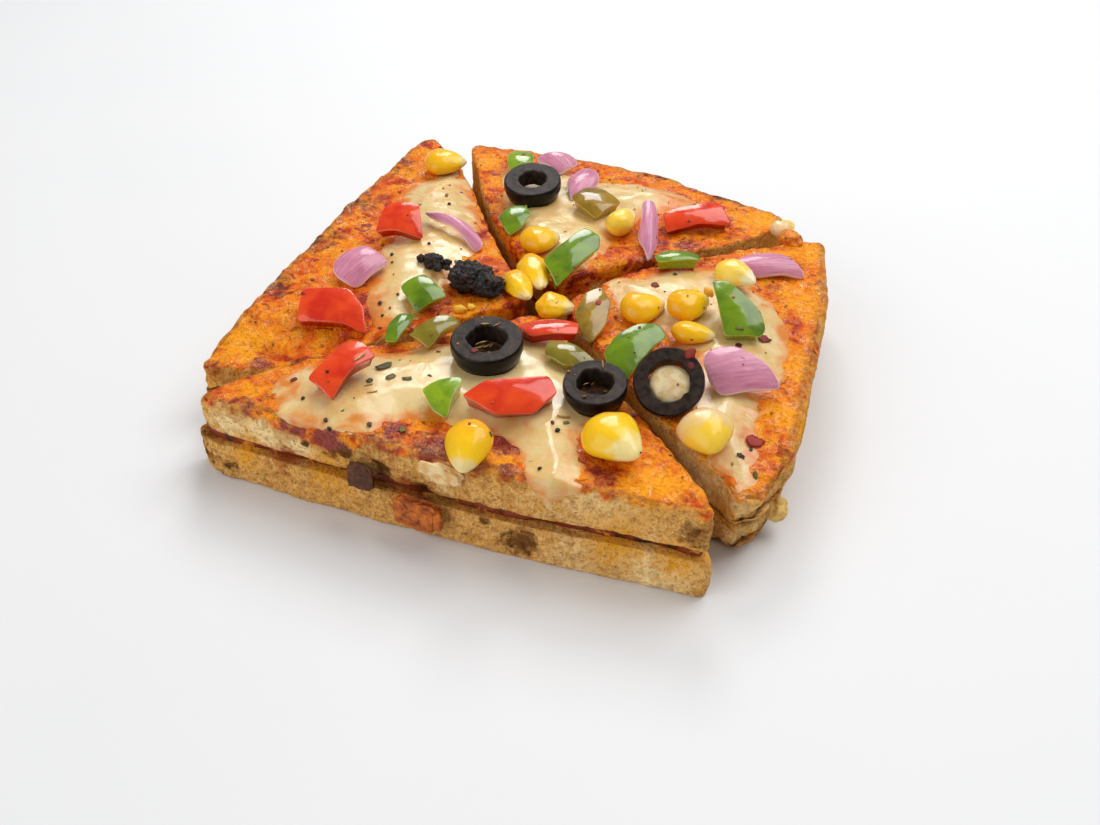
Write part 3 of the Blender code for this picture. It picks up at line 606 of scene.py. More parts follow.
@dataclass(frozen=True)
class ToastFinish:
    """Bread: open crumb where it was cut, browned edges, and baked sauce where it is spread."""

    crumb: Colour = tint(240, 190, 116)
    crumb_dark: Colour = tint(208, 146, 70)
    cream: Colour = tint(255, 224, 164)
    crust: Colour = tint(206, 138, 60)
    # The dark crust colour also paints shade in the crumb's hollows and small holes.
    crust_dark_and_hollow_shade: Colour = tint(150, 88, 34)
    sauce: Colour = tint(238, 116, 4)
    sauce_deep: Colour = tint(204, 72, 4)
    # The red is also painted shade in the sauce's hollows, and the amber a painted highlight on its
    # peaks.
    sauce_red_and_hollow_shade: Colour = tint(142, 34, 4)
    amber_and_peak_highlight: Colour = tint(252, 162, 6)
    burnt: Colour = tint(58, 32, 20)
    toasted: Colour = tint(122, 70, 30)
    grease: Colour = tint(230, 158, 48)
    jam: Colour = tint(160, 66, 20)

    def broken(self, make: Recipe, name: str, low: float, high: float) -> Socket:
        """A value of the mesh, its edges broken up by fine noise, stretched from low to high."""
        fraying = make.span(make.grain(1.7, 5.0, 0.3), 0.25, 0.75, -0.4, 0.4)
        return make.span(make.calc("ADD", make.value(name), fraying), low, high)

    def bread(self, make: Recipe, fine: Socket, holes: Socket) -> Socket:
        """Colour of the bread where there is no sauce.

        Args:
            make: The material in the making.
            fine: Its fine grain.
            holes: Its small holes, 0 in their middles.

        Returns:
            The colour, browner towards the edges, and darker in the crumb's hollows and pits as
            painted shade.
        """
        crumb = make.mix(make.span(fine, 0.34, 0.64), self.crumb, self.crumb_dark)
        clouds = make.span(make.grain(7.0, 4.0, 0.6), 0.44, 0.70, 0.0, 0.4)
        crumb = make.mix(clouds, crumb, self.crumb_dark)
        cream = make.mix(make.span(fine, 0.42, 0.74, 0.0, 0.6), self.cream, self.crumb)
        # Paler crumb where torn; at the right quarter's corner also painted light on a shaded wall.
        pale = self.broken(make, "pale", 0.15, 0.8)
        crumb = make.mix(pale, crumb, cream)
        clouds = make.span(make.grain(1.2, 5.0, 0.3), 0.38, 0.62)
        crust = make.mix(clouds, self.crust, self.crust_dark_and_hollow_shade)
        browned = make.calc("MULTIPLY", make.value("crust"), make.span(pale, 0.0, 1.0, 0.85, 0.2))
        bread = make.mix(browned, crumb, crust)
        # Painted shade: darker in the crumb's hollows, by the relief's height, and in its small
        # holes.
        low = make.span(make.value("peak_shading"), 0.05, 0.5, 0.3, 0.0)
        bread = make.mix(low, bread, self.crust_dark_and_hollow_shade)
        bread = make.mix(make.span(holes, 0.0, 1.0, 0.28, 0.0), bread, self.crust_dark_and_hollow_shade)
        bread = make.mix(self.broken(make, "gold", 0.3, 1.0), bread, self.grease)
        return make.mix(self.broken(make, "red", 0.5, 1.1), bread, self.jam)

    def baked_sauce(self, make: Recipe, fine: Socket) -> Socket:
        """Colour of the sauce: golden on the peaks as a painted highlight, red-brown in the hollows
        as painted shade, dark red in blobs.

        Args:
            make: The material in the making.
            fine: Its fine grain.

        Returns:
            The colour.
        """
        # The relief's height paints a highlight on the sauce's peaks and shade in its hollows.
        peak_shading = make.value("peak_shading")
        clouds = make.span(make.grain(6.5, 5.0, 0.9), 0.36, 0.66, -0.35, 0.35)
        sauce = make.ramp(
            make.calc("ADD", peak_shading, clouds),
            (0.0, self.sauce_red_and_hollow_shade),
            (0.20, self.sauce_deep),
            (0.44, self.sauce),
            (0.86, self.amber_and_peak_highlight),
        )
        sauce = make.mix(make.span(fine, 0.40, 0.70, 0.0, 0.55), sauce, self.sauce_deep)
        sauce = make.mix(self.broken(make, "gold", 0.15, 0.9), sauce, self.amber_and_peak_highlight)
        blobs = make.span(make.grain(3.0, 4.0, 0.9), 0.60, 0.66, 0.0, 0.9)
        away = make.calc("SUBTRACT", 1.0, make.value("gold"))
        sauce = make.mix(make.calc("MULTIPLY", blobs, away), sauce, self.sauce_red_and_hollow_shade)
        sauce = make.mix(self.broken(make, "red", 0.25, 0.75), sauce, self.sauce_red_and_hollow_shade)
        toasted = make.mix(make.span(make.grain(1.5, 4.0), 0.42, 0.60), self.toasted, self.crust)
        rim = make.calc("MULTIPLY", self.broken(make, "rim", 0.45, 0.95), 0.55)
        return make.mix(rim, sauce, toasted)

    def material(self) -> Material:
        """Make the material.

        Returns:
            Bread whose colours follow the mesh's values for sauce, crust and stains.
        """
        make = Recipe("toast", 0.7)
        fine = make.grain(0.5, 4.0)
        middling = make.grain(2.2, 5.0, 0.4)
        holes = make.span(make.grain(0.8, 4.0), 0.34, 0.46)
        bread, sauce = self.bread(make, fine, holes), self.baked_sauce(make, fine)
        colour = make.mix(make.value("sauce"), bread, sauce)
        warm = make.mix(make.span(middling, 0.35, 0.65), self.burnt, self.toasted)
        scorch = make.calc("MULTIPLY", self.broken(make, "scorch", 0.28, 0.72), 0.9)
        colour = make.mix(scorch, colour, warm)
        wetness = make.calc("MAXIMUM", make.value("red"), make.span(middling, 0.50, 0.64))
        wet = make.span(wetness, 0.0, 1.0, 0.60, 0.15)
        dry = make.span(fine, 0.3, 0.7, 0.72, 0.9)
        roughness = make.blend(make.value("sauce"), dry, wet)
        relief = make.bump(fine, 0.30)
        relief = make.bump(holes, 0.16, relief)
        relief = make.bump(middling, 0.5, relief)
        shine = make.calc("MULTIPLY", make.value("sauce"), make.span(wetness, 0.0, 1.0, 0.2, 0.6))
        return make.finish(
            Base_Color=colour, Roughness=roughness, Normal=relief, Specular_IOR_Level=shine
        )


@dataclass(frozen=True)
class FillingFinish:
    """The dark, sticky line between the slices: sauce with melted bits in it."""

    sauce: Colour = tint(132, 50, 18)
    dark: Colour = tint(58, 26, 14)
    golden: Colour = tint(222, 144, 38)

    def material(self) -> Material:
        """Make the material, its bits cloudy patches of gold and near black."""
        make = Recipe("filling", 0.4)
        colour = make.ramp(
            make.grain(5.0, 5.0, 1.0),
            (0.34, self.dark),
            (0.48, self.sauce),
            (0.58, self.sauce),
            (0.68, self.golden),
        )
        relief = make.bump(make.grain(1.2, 4.0), 0.4)
        roughness = make.span(make.grain(2.0), 0.3, 0.7, 0.25, 0.55)
        return make.finish(Base_Color=colour, Roughness=roughness, Normal=relief)


@dataclass(frozen=True)
class CheeseFinish:
    """Melted cheese: ivory where thick, stained orange and pink where the sauce shows through."""

    cream: Colour = tint(230, 202, 144)
    deep: Colour = tint(222, 182, 108)
    stained: Colour = tint(222, 126, 34)
    rosy: Colour = tint(226, 172, 108)
    toasted: Colour = tint(206, 136, 56)

    def material(self) -> Material:
        """Make the material, stained by the mesh's value for thinness and by clouds."""
        make = Recipe("cheese", 0.3)
        colour = make.mix(make.span(make.grain(9.0, 3.0, 0.6), 0.42, 0.66), self.cream, self.deep)
        cloud = make.span(make.grain(5.0, 4.0, 0.8), 0.36, 0.68, -0.4, 0.4)
        seen = make.calc("ADD", make.value("thin"), cloud)
        colour = make.mix(make.span(seen, 0.08, 0.62, 0.0, 0.85), colour, self.rosy)
        colour = make.mix(make.span(seen, 0.50, 1.0, 0.0, 0.95), colour, self.stained)
        spots = make.span(make.grain(1.6, 5.0, 0.4), 0.64, 0.74, 0.0, 0.4)
        colour = make.mix(spots, colour, self.toasted)
        roughness = make.span(make.grain(4.0, 3.0), 0.35, 0.65, 0.16, 0.36)
        relief = make.bump(make.grain(4.4, 2.0, 0.4), 0.35)
        relief = make.bump(make.grain(1.0, 3.0), 0.04, relief)
        return make.finish(
            Base_Color=colour, Roughness=roughness, Normal=relief,
            Subsurface_Weight=0.3, Subsurface_Scale=0.0016,
            Specular_IOR_Level=0.35, Coat_Weight=0.35, Coat_Roughness=0.18,
        )


@dataclass(frozen=True)
class CornFinish:
    """A cooked kernel: clear yellow skin that pales to cream at its tip."""

    name: str
    crown: Colour
    body: Colour
    tip: Colour
    tip_start: float = 0.72
    slot: ClassVar[str] = "corn"

    def material(self) -> Material:
        """Make the material, its colours running along the mesh's value for the tip."""
        make = Recipe(self.name, 0.24)
        clouds = make.span(make.grain(3.5, 3.0, 0.6), 0.3, 0.7, -0.10, 0.10)
        colour = make.ramp(
            make.calc("ADD", make.value("tip"), clouds),
            (0.15, self.crown),
            (self.tip_start, self.body),
            (self.tip_start + 0.12, self.tip),
        )
        roughness = make.span(make.grain(2.5, 3.0), 0.3, 0.7, 0.18, 0.34)
        relief = make.bump(make.grain(2.4, 2.0), 0.14)
        return make.finish(
            Base_Color=colour, Roughness=roughness, Normal=relief,
            Subsurface_Weight=0.15, Subsurface_Scale=0.0012,
            Specular_IOR_Level=0.2, Coat_Weight=0.35, Coat_Roughness=0.1,
        )


@dataclass(frozen=True)
class CapsicumFinish:
    """Roasted capsicum: tight glossy skin over wet flesh that shows where it was cut."""

    name: str
    skin: Colour
    skin_dark: Colour
    flesh: Colour
    # The line is the flesh's paler rim and a painted highlight along the skin's edge.
    line: Colour
    slot: str = "green_capsicum"

    def material(self) -> Material:
        """Make the material, skin or flesh by the mesh's value for skin.

        A thin paler line runs where the two meet: the flesh's paler rim and a painted highlight
        along the skin's edge.
        """
        make = Recipe(self.name, 0.2)
        skin = make.mix(make.span(make.grain(5.0, 3.0, 0.6), 0.38, 0.68), self.skin, self.skin_dark)
        clouds = make.span(make.grain(1.1, 3.0), 0.3, 0.75, 0.0, 0.4)
        flesh = make.mix(clouds, self.flesh, self.skin_dark)
        colour = make.mix(make.value("skin"), flesh, skin)
        past = make.calc("SUBTRACT", make.value("skin"), 0.5, clamp=False)
        away = make.add("ShaderNodeMath", {0: past}, operation="ABSOLUTE").outputs[0]
        # Paler line at the rim: paler flesh and a painted highlight.
        colour = make.mix(make.span(away, 0.42, 0.12, 0.0, 0.7), colour, self.line)
        roughness = make.span(make.grain(2.8, 3.0), 0.35, 0.7, 0.16, 0.32)
        relief = make.bump(make.grain(3.6, 2.0), 0.10)
        return make.finish(
            Base_Color=colour, Roughness=roughness, Normal=relief,
            Subsurface_Weight=0.1, Subsurface_Scale=0.001,
            Specular_IOR_Level=0.2, Coat_Weight=0.7, Coat_Roughness=0.08,
        )


@dataclass(frozen=True)
class OnionFinish:
    """Softened red onion: mauve skin with faint veins and a thin pale rim."""

    mauve: Colour = tint(220, 148, 170)
    violet: Colour = tint(176, 92, 128)
    pale: Colour = tint(238, 202, 210)
    white: Colour = tint(242, 220, 216)
    slot: ClassVar[str] = "onion"

    def material(self) -> Material:
        """Make the material, its veins drawn out along the mesh's lengthwise value."""
        make = Recipe("onion", 0.26)
        across = make.span(make.value("across"), 0.0, 1.0, 0.0, 7.0)
        stretched = make.add("ShaderNodeCombineXYZ", {0: make.value("along"), 1: across}).outputs[0]
        inputs = {"Vector": stretched, "Scale": 2.0, "Detail": 4.0}
        veins = make.add("ShaderNodeTexNoise", inputs).outputs["Fac"]
        skin = make.mix(make.span(veins, 0.24, 0.64), self.violet, self.mauve)
        skin = make.mix(make.span(make.grain(7.0, 2.0), 0.4, 0.7, 0.0, 0.6), skin, self.mauve)
        rim = make.span(make.value("edge"), 0.72, 0.95, 0.0, 0.8)
        skin = make.mix(rim, skin, self.pale)
        colour = make.mix(make.value("skin"), self.white, skin)
        relief = make.bump(veins, 0.08)
        relief = make.bump(make.grain(3.0), 0.12, relief)
        return make.finish(
            Base_Color=colour, Normal=relief,
            Subsurface_Weight=0.2, Subsurface_Scale=0.0012,
            Specular_IOR_Level=0.2, Coat_Weight=0.35, Coat_Roughness=0.15,
        )


@dataclass(frozen=True)
class OliveFinish:
    """Black olive: oily black skin, and dark brown flesh where it was sliced."""

    skin: Colour = tint(16, 15, 18)
    flesh: Colour = tint(60, 46, 37)
    deep: Colour = tint(28, 20, 17)
    slot: ClassVar[str] = "olive"

    def material(self) -> Material:
        """Make the material, skin or flesh by the mesh's value for skin."""
        make = Recipe("olive", 0.3)
        flesh = make.mix(make.span(make.grain(1.6, 4.0), 0.35, 0.65), self.flesh, self.deep)
        colour = make.mix(make.value("skin"), flesh, self.skin)
        roughness = make.span(make.value("skin"), 0.0, 1.0, 0.5, 0.24)
        relief = make.bump(make.grain(1.0, 4.0), 0.10)
        return make.finish(
            Base_Color=colour, Roughness=roughness, Normal=relief, Specular_IOR_Level=0.2
        )


@dataclass(frozen=True)
class CharredFinish:
    """Olive burnt to a black, cracked lump."""

    black: Colour = tint(20, 15, 14)
    brown: Colour = tint(72, 42, 28)
    slot: ClassVar[str] = "charred"

    def material(self) -> Material:
        """Make the material, black and brown in clouds, with cracks in its relief."""
        make = Recipe("charred", 0.6)
        cracks = make.cracks(1.4)
        colour = make.mix(make.span(make.grain(1.2, 4.0), 0.5, 0.68), self.black, self.brown)
        roughness = make.span(make.grain(1.0), 0.3, 0.7, 0.35, 0.8)
        relief = make.bump(make.grain(0.7, 4.0), 0.5, make.bump(cracks, 0.6))
        return make.finish(Base_Color=colour, Roughness=roughness, Normal=relief)


@dataclass(frozen=True)
class LumpFinish:
    """A small lump's two shades in clouds, with a fine, broken surface."""

    name: str
    dark: Colour
    light: Colour
    dullness: float
    broken: float = 0.3

    def material(self) -> Material:
        """Make the material."""
        make = Recipe(self.name, self.dullness)
        colour = make.mix(make.span(make.grain(1.8, 5.0, 0.5), 0.36, 0.64), self.dark, self.light)
        relief = make.bump(make.grain(0.7, 4.0), self.broken)
        return make.finish(Base_Color=colour, Normal=relief, Specular_IOR_Level=0.2)


@dataclass(frozen=True)
class FlakeFinish:
    """Dry flakes of one kind, each a little lighter or darker than the next."""

    name: str
    dark: Colour
    light: Colour

    def material(self) -> Material:
        """Make the material, its shade taken from the mesh's value for shade."""
        make = Recipe(self.name, 0.6)
        clouds = make.span(make.grain(0.5), 0.3, 0.7, -0.2, 0.2)
        shade = make.calc("ADD", make.value("shade"), clouds)
        colour = make.mix(shade, self.dark, self.light)
        return make.finish(Base_Color=colour, Normal=make.bump(make.grain(0.3), 0.1))


class Look(Enum):
    """The finishes that the toppings choose from, each with how it is made."""

    BRIGHT_CORN = CornFinish(
        "corn_bright", tint(244, 176, 6), tint(252, 204, 24), tint(240, 214, 146), 0.80
    )
    CREAM_HEART_CORN = CornFinish(
        "corn_cream_heart", tint(250, 190, 8), tint(252, 206, 30), tint(250, 226, 150), 0.66
    )
    PALE_CORN = CornFinish(
        "corn_pale", tint(250, 206, 60), tint(248, 216, 104), tint(248, 232, 190)
    )
    CREAM_CORN = CornFinish(
        "corn_cream", tint(236, 200, 150), tint(240, 204, 130), tint(250, 206, 60), 0.5
    )
    # Each capsicum's last colour is its rim line: paler flesh and a painted highlight.
    GREEN = CapsicumFinish(
        "capsicum_green",
        tint(114, 146, 2), tint(80, 112, 0), tint(164, 174, 22), tint(208, 214, 100),
    )
    PALE_GREEN = CapsicumFinish(
        "capsicum_pale_green",
        tint(146, 174, 20), tint(98, 136, 4), tint(192, 202, 70), tint(222, 228, 140),
    )
    KHAKI = CapsicumFinish(
        "capsicum_khaki",
        tint(166, 126, 4), tint(118, 92, 0), tint(186, 154, 28), tint(214, 194, 90),
    )
    GLASSY = CapsicumFinish(
        "capsicum_glassy",
        tint(142, 126, 26), tint(108, 98, 12), tint(180, 168, 48), tint(214, 206, 116),
    )
    RED = CapsicumFinish(
        "capsicum_red",
        tint(236, 72, 12), tint(212, 38, 4), tint(186, 16, 2), tint(244, 134, 84),
        slot="red_capsicum",
    )
    ONION = OnionFinish()
    OLIVE = OliveFinish()
    CHARRED = CharredFinish()

    @property
    def slot(self) -> str:
        """The record's slot for this look."""
        return self.value.slot


@lru_cache(maxsize=None)
def finish_of(look: Look) -> Material:
    """A look's material, made once."""
    return look.value.material()


# The bread, the filling and the cheese


class Stain(Enum):
    """What a mark on the bread is."""

    SCORCH = "scorch"
    GOLD = "gold"
    RED = "red"
    PALE = "pale"
    PIT = "pit"
    TORN = "torn"
    SHEER = "sheer"
    RUN = "run"


class Table:
    """Everything laid so far, for toppings and small loose things to rest on."""

    DOWN = Vector((0.0, 0.0, -1.0))
    # A topping is tried at about so many points, from a little above each, and this share of
    # them may end up lower than what it rests on.
    TRIES = 700
    HEADROOM = 2.0
    SUNK_SHARE = 0.012
    # Bits are let go at this height, and stay where they land high and level enough.
    DROP_FROM = 60.0
    LOWEST_LANDING = 16.5
    STEEPEST_LANDING = 0.35

    def __init__(self) -> None:
        """Start with nothing laid."""
        self.layers: list[tuple[Array, Array, BVHTree]] = []

    def lay(self, cloth: Cloth) -> None:
        """Add a piece to what is laid."""
        plan = cloth.points[:, :2]
        tree = BVHTree.FromPolygons(cloth.points.tolist(), cloth.faces)
        self.layers.append((plan.min(axis=0), plan.max(axis=0), tree))

    def near(self, low: Array, high: Array) -> list[BVHTree]:
        """The pieces that reach into a box of the plan."""
        return [
            tree
            for least, most, tree in self.layers
            if (least < high).all() and (most > low).all()
        ]

    def clearance(self, points: Array) -> float:
        """How far a piece stands above what is laid, leaving out its few lowest spots.

        Args:
            points: The piece's points.

        Returns:
            The distance to lower it by, or nothing if it already touches.
        """
        near = self.near(points[:, :2].min(axis=0), points[:, :2].max(axis=0))
        lift = Vector((0.0, 0.0, self.HEADROOM))
        gaps = []
        for place in points[:: max(1, len(points) // self.TRIES)].tolist():
            hits = [tree.ray_cast(Vector(place) + lift, self.DOWN)[0] for tree in near]
            if any(hits):
                gaps.append(place[2] - max(hit.z for hit in hits if hit))
        return max(0.0, float(np.quantile(gaps, self.SUNK_SHARE))) if gaps else 0.0

    def settle(self, plan: Array) -> tuple[Array, Array, Array]:
        """Drop points of the plan straight down.

        Args:
            plan: Where they are let go.

        Returns:
            Where they land, the way the surface looks there, and which points landed on top.
        """
        hits = []
        for spot in plan:
            place = Vector((*spot, self.DROP_FROM))
            found = [tree.ray_cast(place, self.DOWN) for tree in self.near(spot, spot)]
            found = [hit for hit in found if hit[0] is not None]
            hits.append(max(found, key=lambda hit: hit[0].z, default=None))
        landed = np.array([
            hit is not None
            and hit[0].z > self.LOWEST_LANDING
            and abs(hit[1].z) > self.STEEPEST_LANDING
            for hit in hits
        ])
        kept = [hit for hit, lands in zip(hits, landed) if lands]
        places = np.array([tuple(hit[0]) for hit in kept])
        normals = np.array([tuple(hit[1] if hit[1].z > 0 else -hit[1]) for hit in kept])
        return places, normals, landed


@dataclass(frozen=True)
class Quarter:
    """One quarter of the sandwich in the plan.

    The corners run anticlockwise, first along the crust and then along the two cuts. A press
    is x, y, reach and depth. The spread is how far the lower slice's crust stands out past the
    upper one's, and the cheese is the corners of its patch.
    """

    name: str
    crust: tuple[Corner, ...]
    cuts: tuple[Corner, ...]
    presses: tuple[tuple[float, float, float, float], ...]
    spread: float
    cheese: tuple[Place, ...]
    seed: int
    marks: dict[Stain, tuple[Spot, ...]]

    def marked(self, points: Array, stain: Stain) -> Array:
        """How strongly each point is marked by one kind of stain.

        Each spot gives its strength times a bell curve of the distance from its middle, which
        is stretched and shrunk by noise, and the strongest spot counts. Scorches and red
        patches are cut off raggedly where they are faint.

        Args:
            points: Places in space.
            stain: The kind that counts.

        Returns:
            A value from 0 to 1 for each point.
        """
        found = np.zeros(points.shape[:-1])
        warp = 1.0 + 0.4 * rough(points, 4.0, 77)
        for x, y, z, reach, strength in self.marks.get(stain, ()):
            away = np.linalg.norm(points - np.array((x, y, z)), axis=-1) / reach
            found = np.maximum(found, strength * np.exp(-((away * warp) ** 2)))
        if stain in (Stain.SCORCH, Stain.RED):
            ragged = found + 0.30 * rough(points, 2.4, 78) * (found > 0.03)
            found = found * smooth_step(ragged, 0.22, 0.50)
        return found

    def squeeze(self, points: Array) -> Array:
        """How much of its height the stack keeps: one less a bell curve for each press."""
        kept = np.ones(points.shape[:-1])
        for x, y, reach, depth in self.presses:
            away = np.hypot(points[..., 0] - x, points[..., 1] - y) / reach
            kept -= depth / UPPER_TOP * np.exp(-(away**2))
        return kept

    def seam(self, points: Array) -> Array:
        """Height of the lower slice's upper side."""
        kept = 1.0 - SEAM_SHARE * (1.0 - self.squeeze(points))
        wave = SEAM_WAVE * lumps(points, SEAM_LENGTH, SEAM_SEED)
        return (LOWER_TOP + wave) * kept

    def opening(self, points: Array) -> Array:
        """Height of the gap that the filling lies in, nearly closed where the bread is torn."""
        level = np.full(points.shape[:-1] + (1,), LOWER_TOP)
        seam = np.concatenate([points[..., :2], level], axis=-1)
        closed = 0.85 * smooth_step(self.marked(seam, Stain.TORN), 0.45, 0.85)
        uneven = 1.0 + 0.3 * rough(points[..., :2], 7.0, 91)
        return (2 * GAP + FILLING_THICKNESS) * uneven * (1.0 - closed)

    def top(self, points: Array) -> Array:
        """Height of the upper slice's sauced top."""
        wave = TOP_WAVE * lumps(points, TOP_LENGTH, TOP_SEED)
        return (UPPER_TOP + wave) * self.squeeze(points)

    def coarse_outline(
        self, inset: float, seed: float, spread: float = 0.0
    ) -> tuple[Array, Array]:
        """The solids' uneven outline, and which of its corners are on the crust."""
        outline, corner = resample(rounded(self.crust + self.cuts), COARSE_STEP)
        on_crust = corner < len(BEND) * (len(self.crust) - 0.5)
        wander = EDGE_WAVE * lumps(outline, EDGE_LENGTH, seed) - inset + spread * on_crust
        return outline + outward(outline) * wander[:, None], on_crust

    def outline(self, inset: float, seed: float, spread: float = 0.0) -> tuple[Array, Array]:
        """A finely stepped curve through the solids' outline.

        Args:
            inset: How far the whole outline is drawn in.
            seed: Which unevenness it has.
            spread: How far the crust is moved out.

        Returns:
            The curve's points, and how much each of them is on the crust, from 0 to 1.
        """
        coarse, on_crust = self.coarse_outline(inset, seed, spread)
        share = np.arange(FINE_STEPS) / FINE_STEPS
        here = on_crust.astype(float)[:, None]
        crust = here * (1 - share) + np.roll(here, -1, axis=0) * share
        return smooth_loop(coarse, FINE_STEPS), crust.ravel()

    def soft(self, crust: Array) -> Array:
        """The upper shoulder's radius, from a cut side's to the crust's."""
        return CUT_SHOULDER + (CRUST_SHOULDER - CUT_SHOULDER) * crust


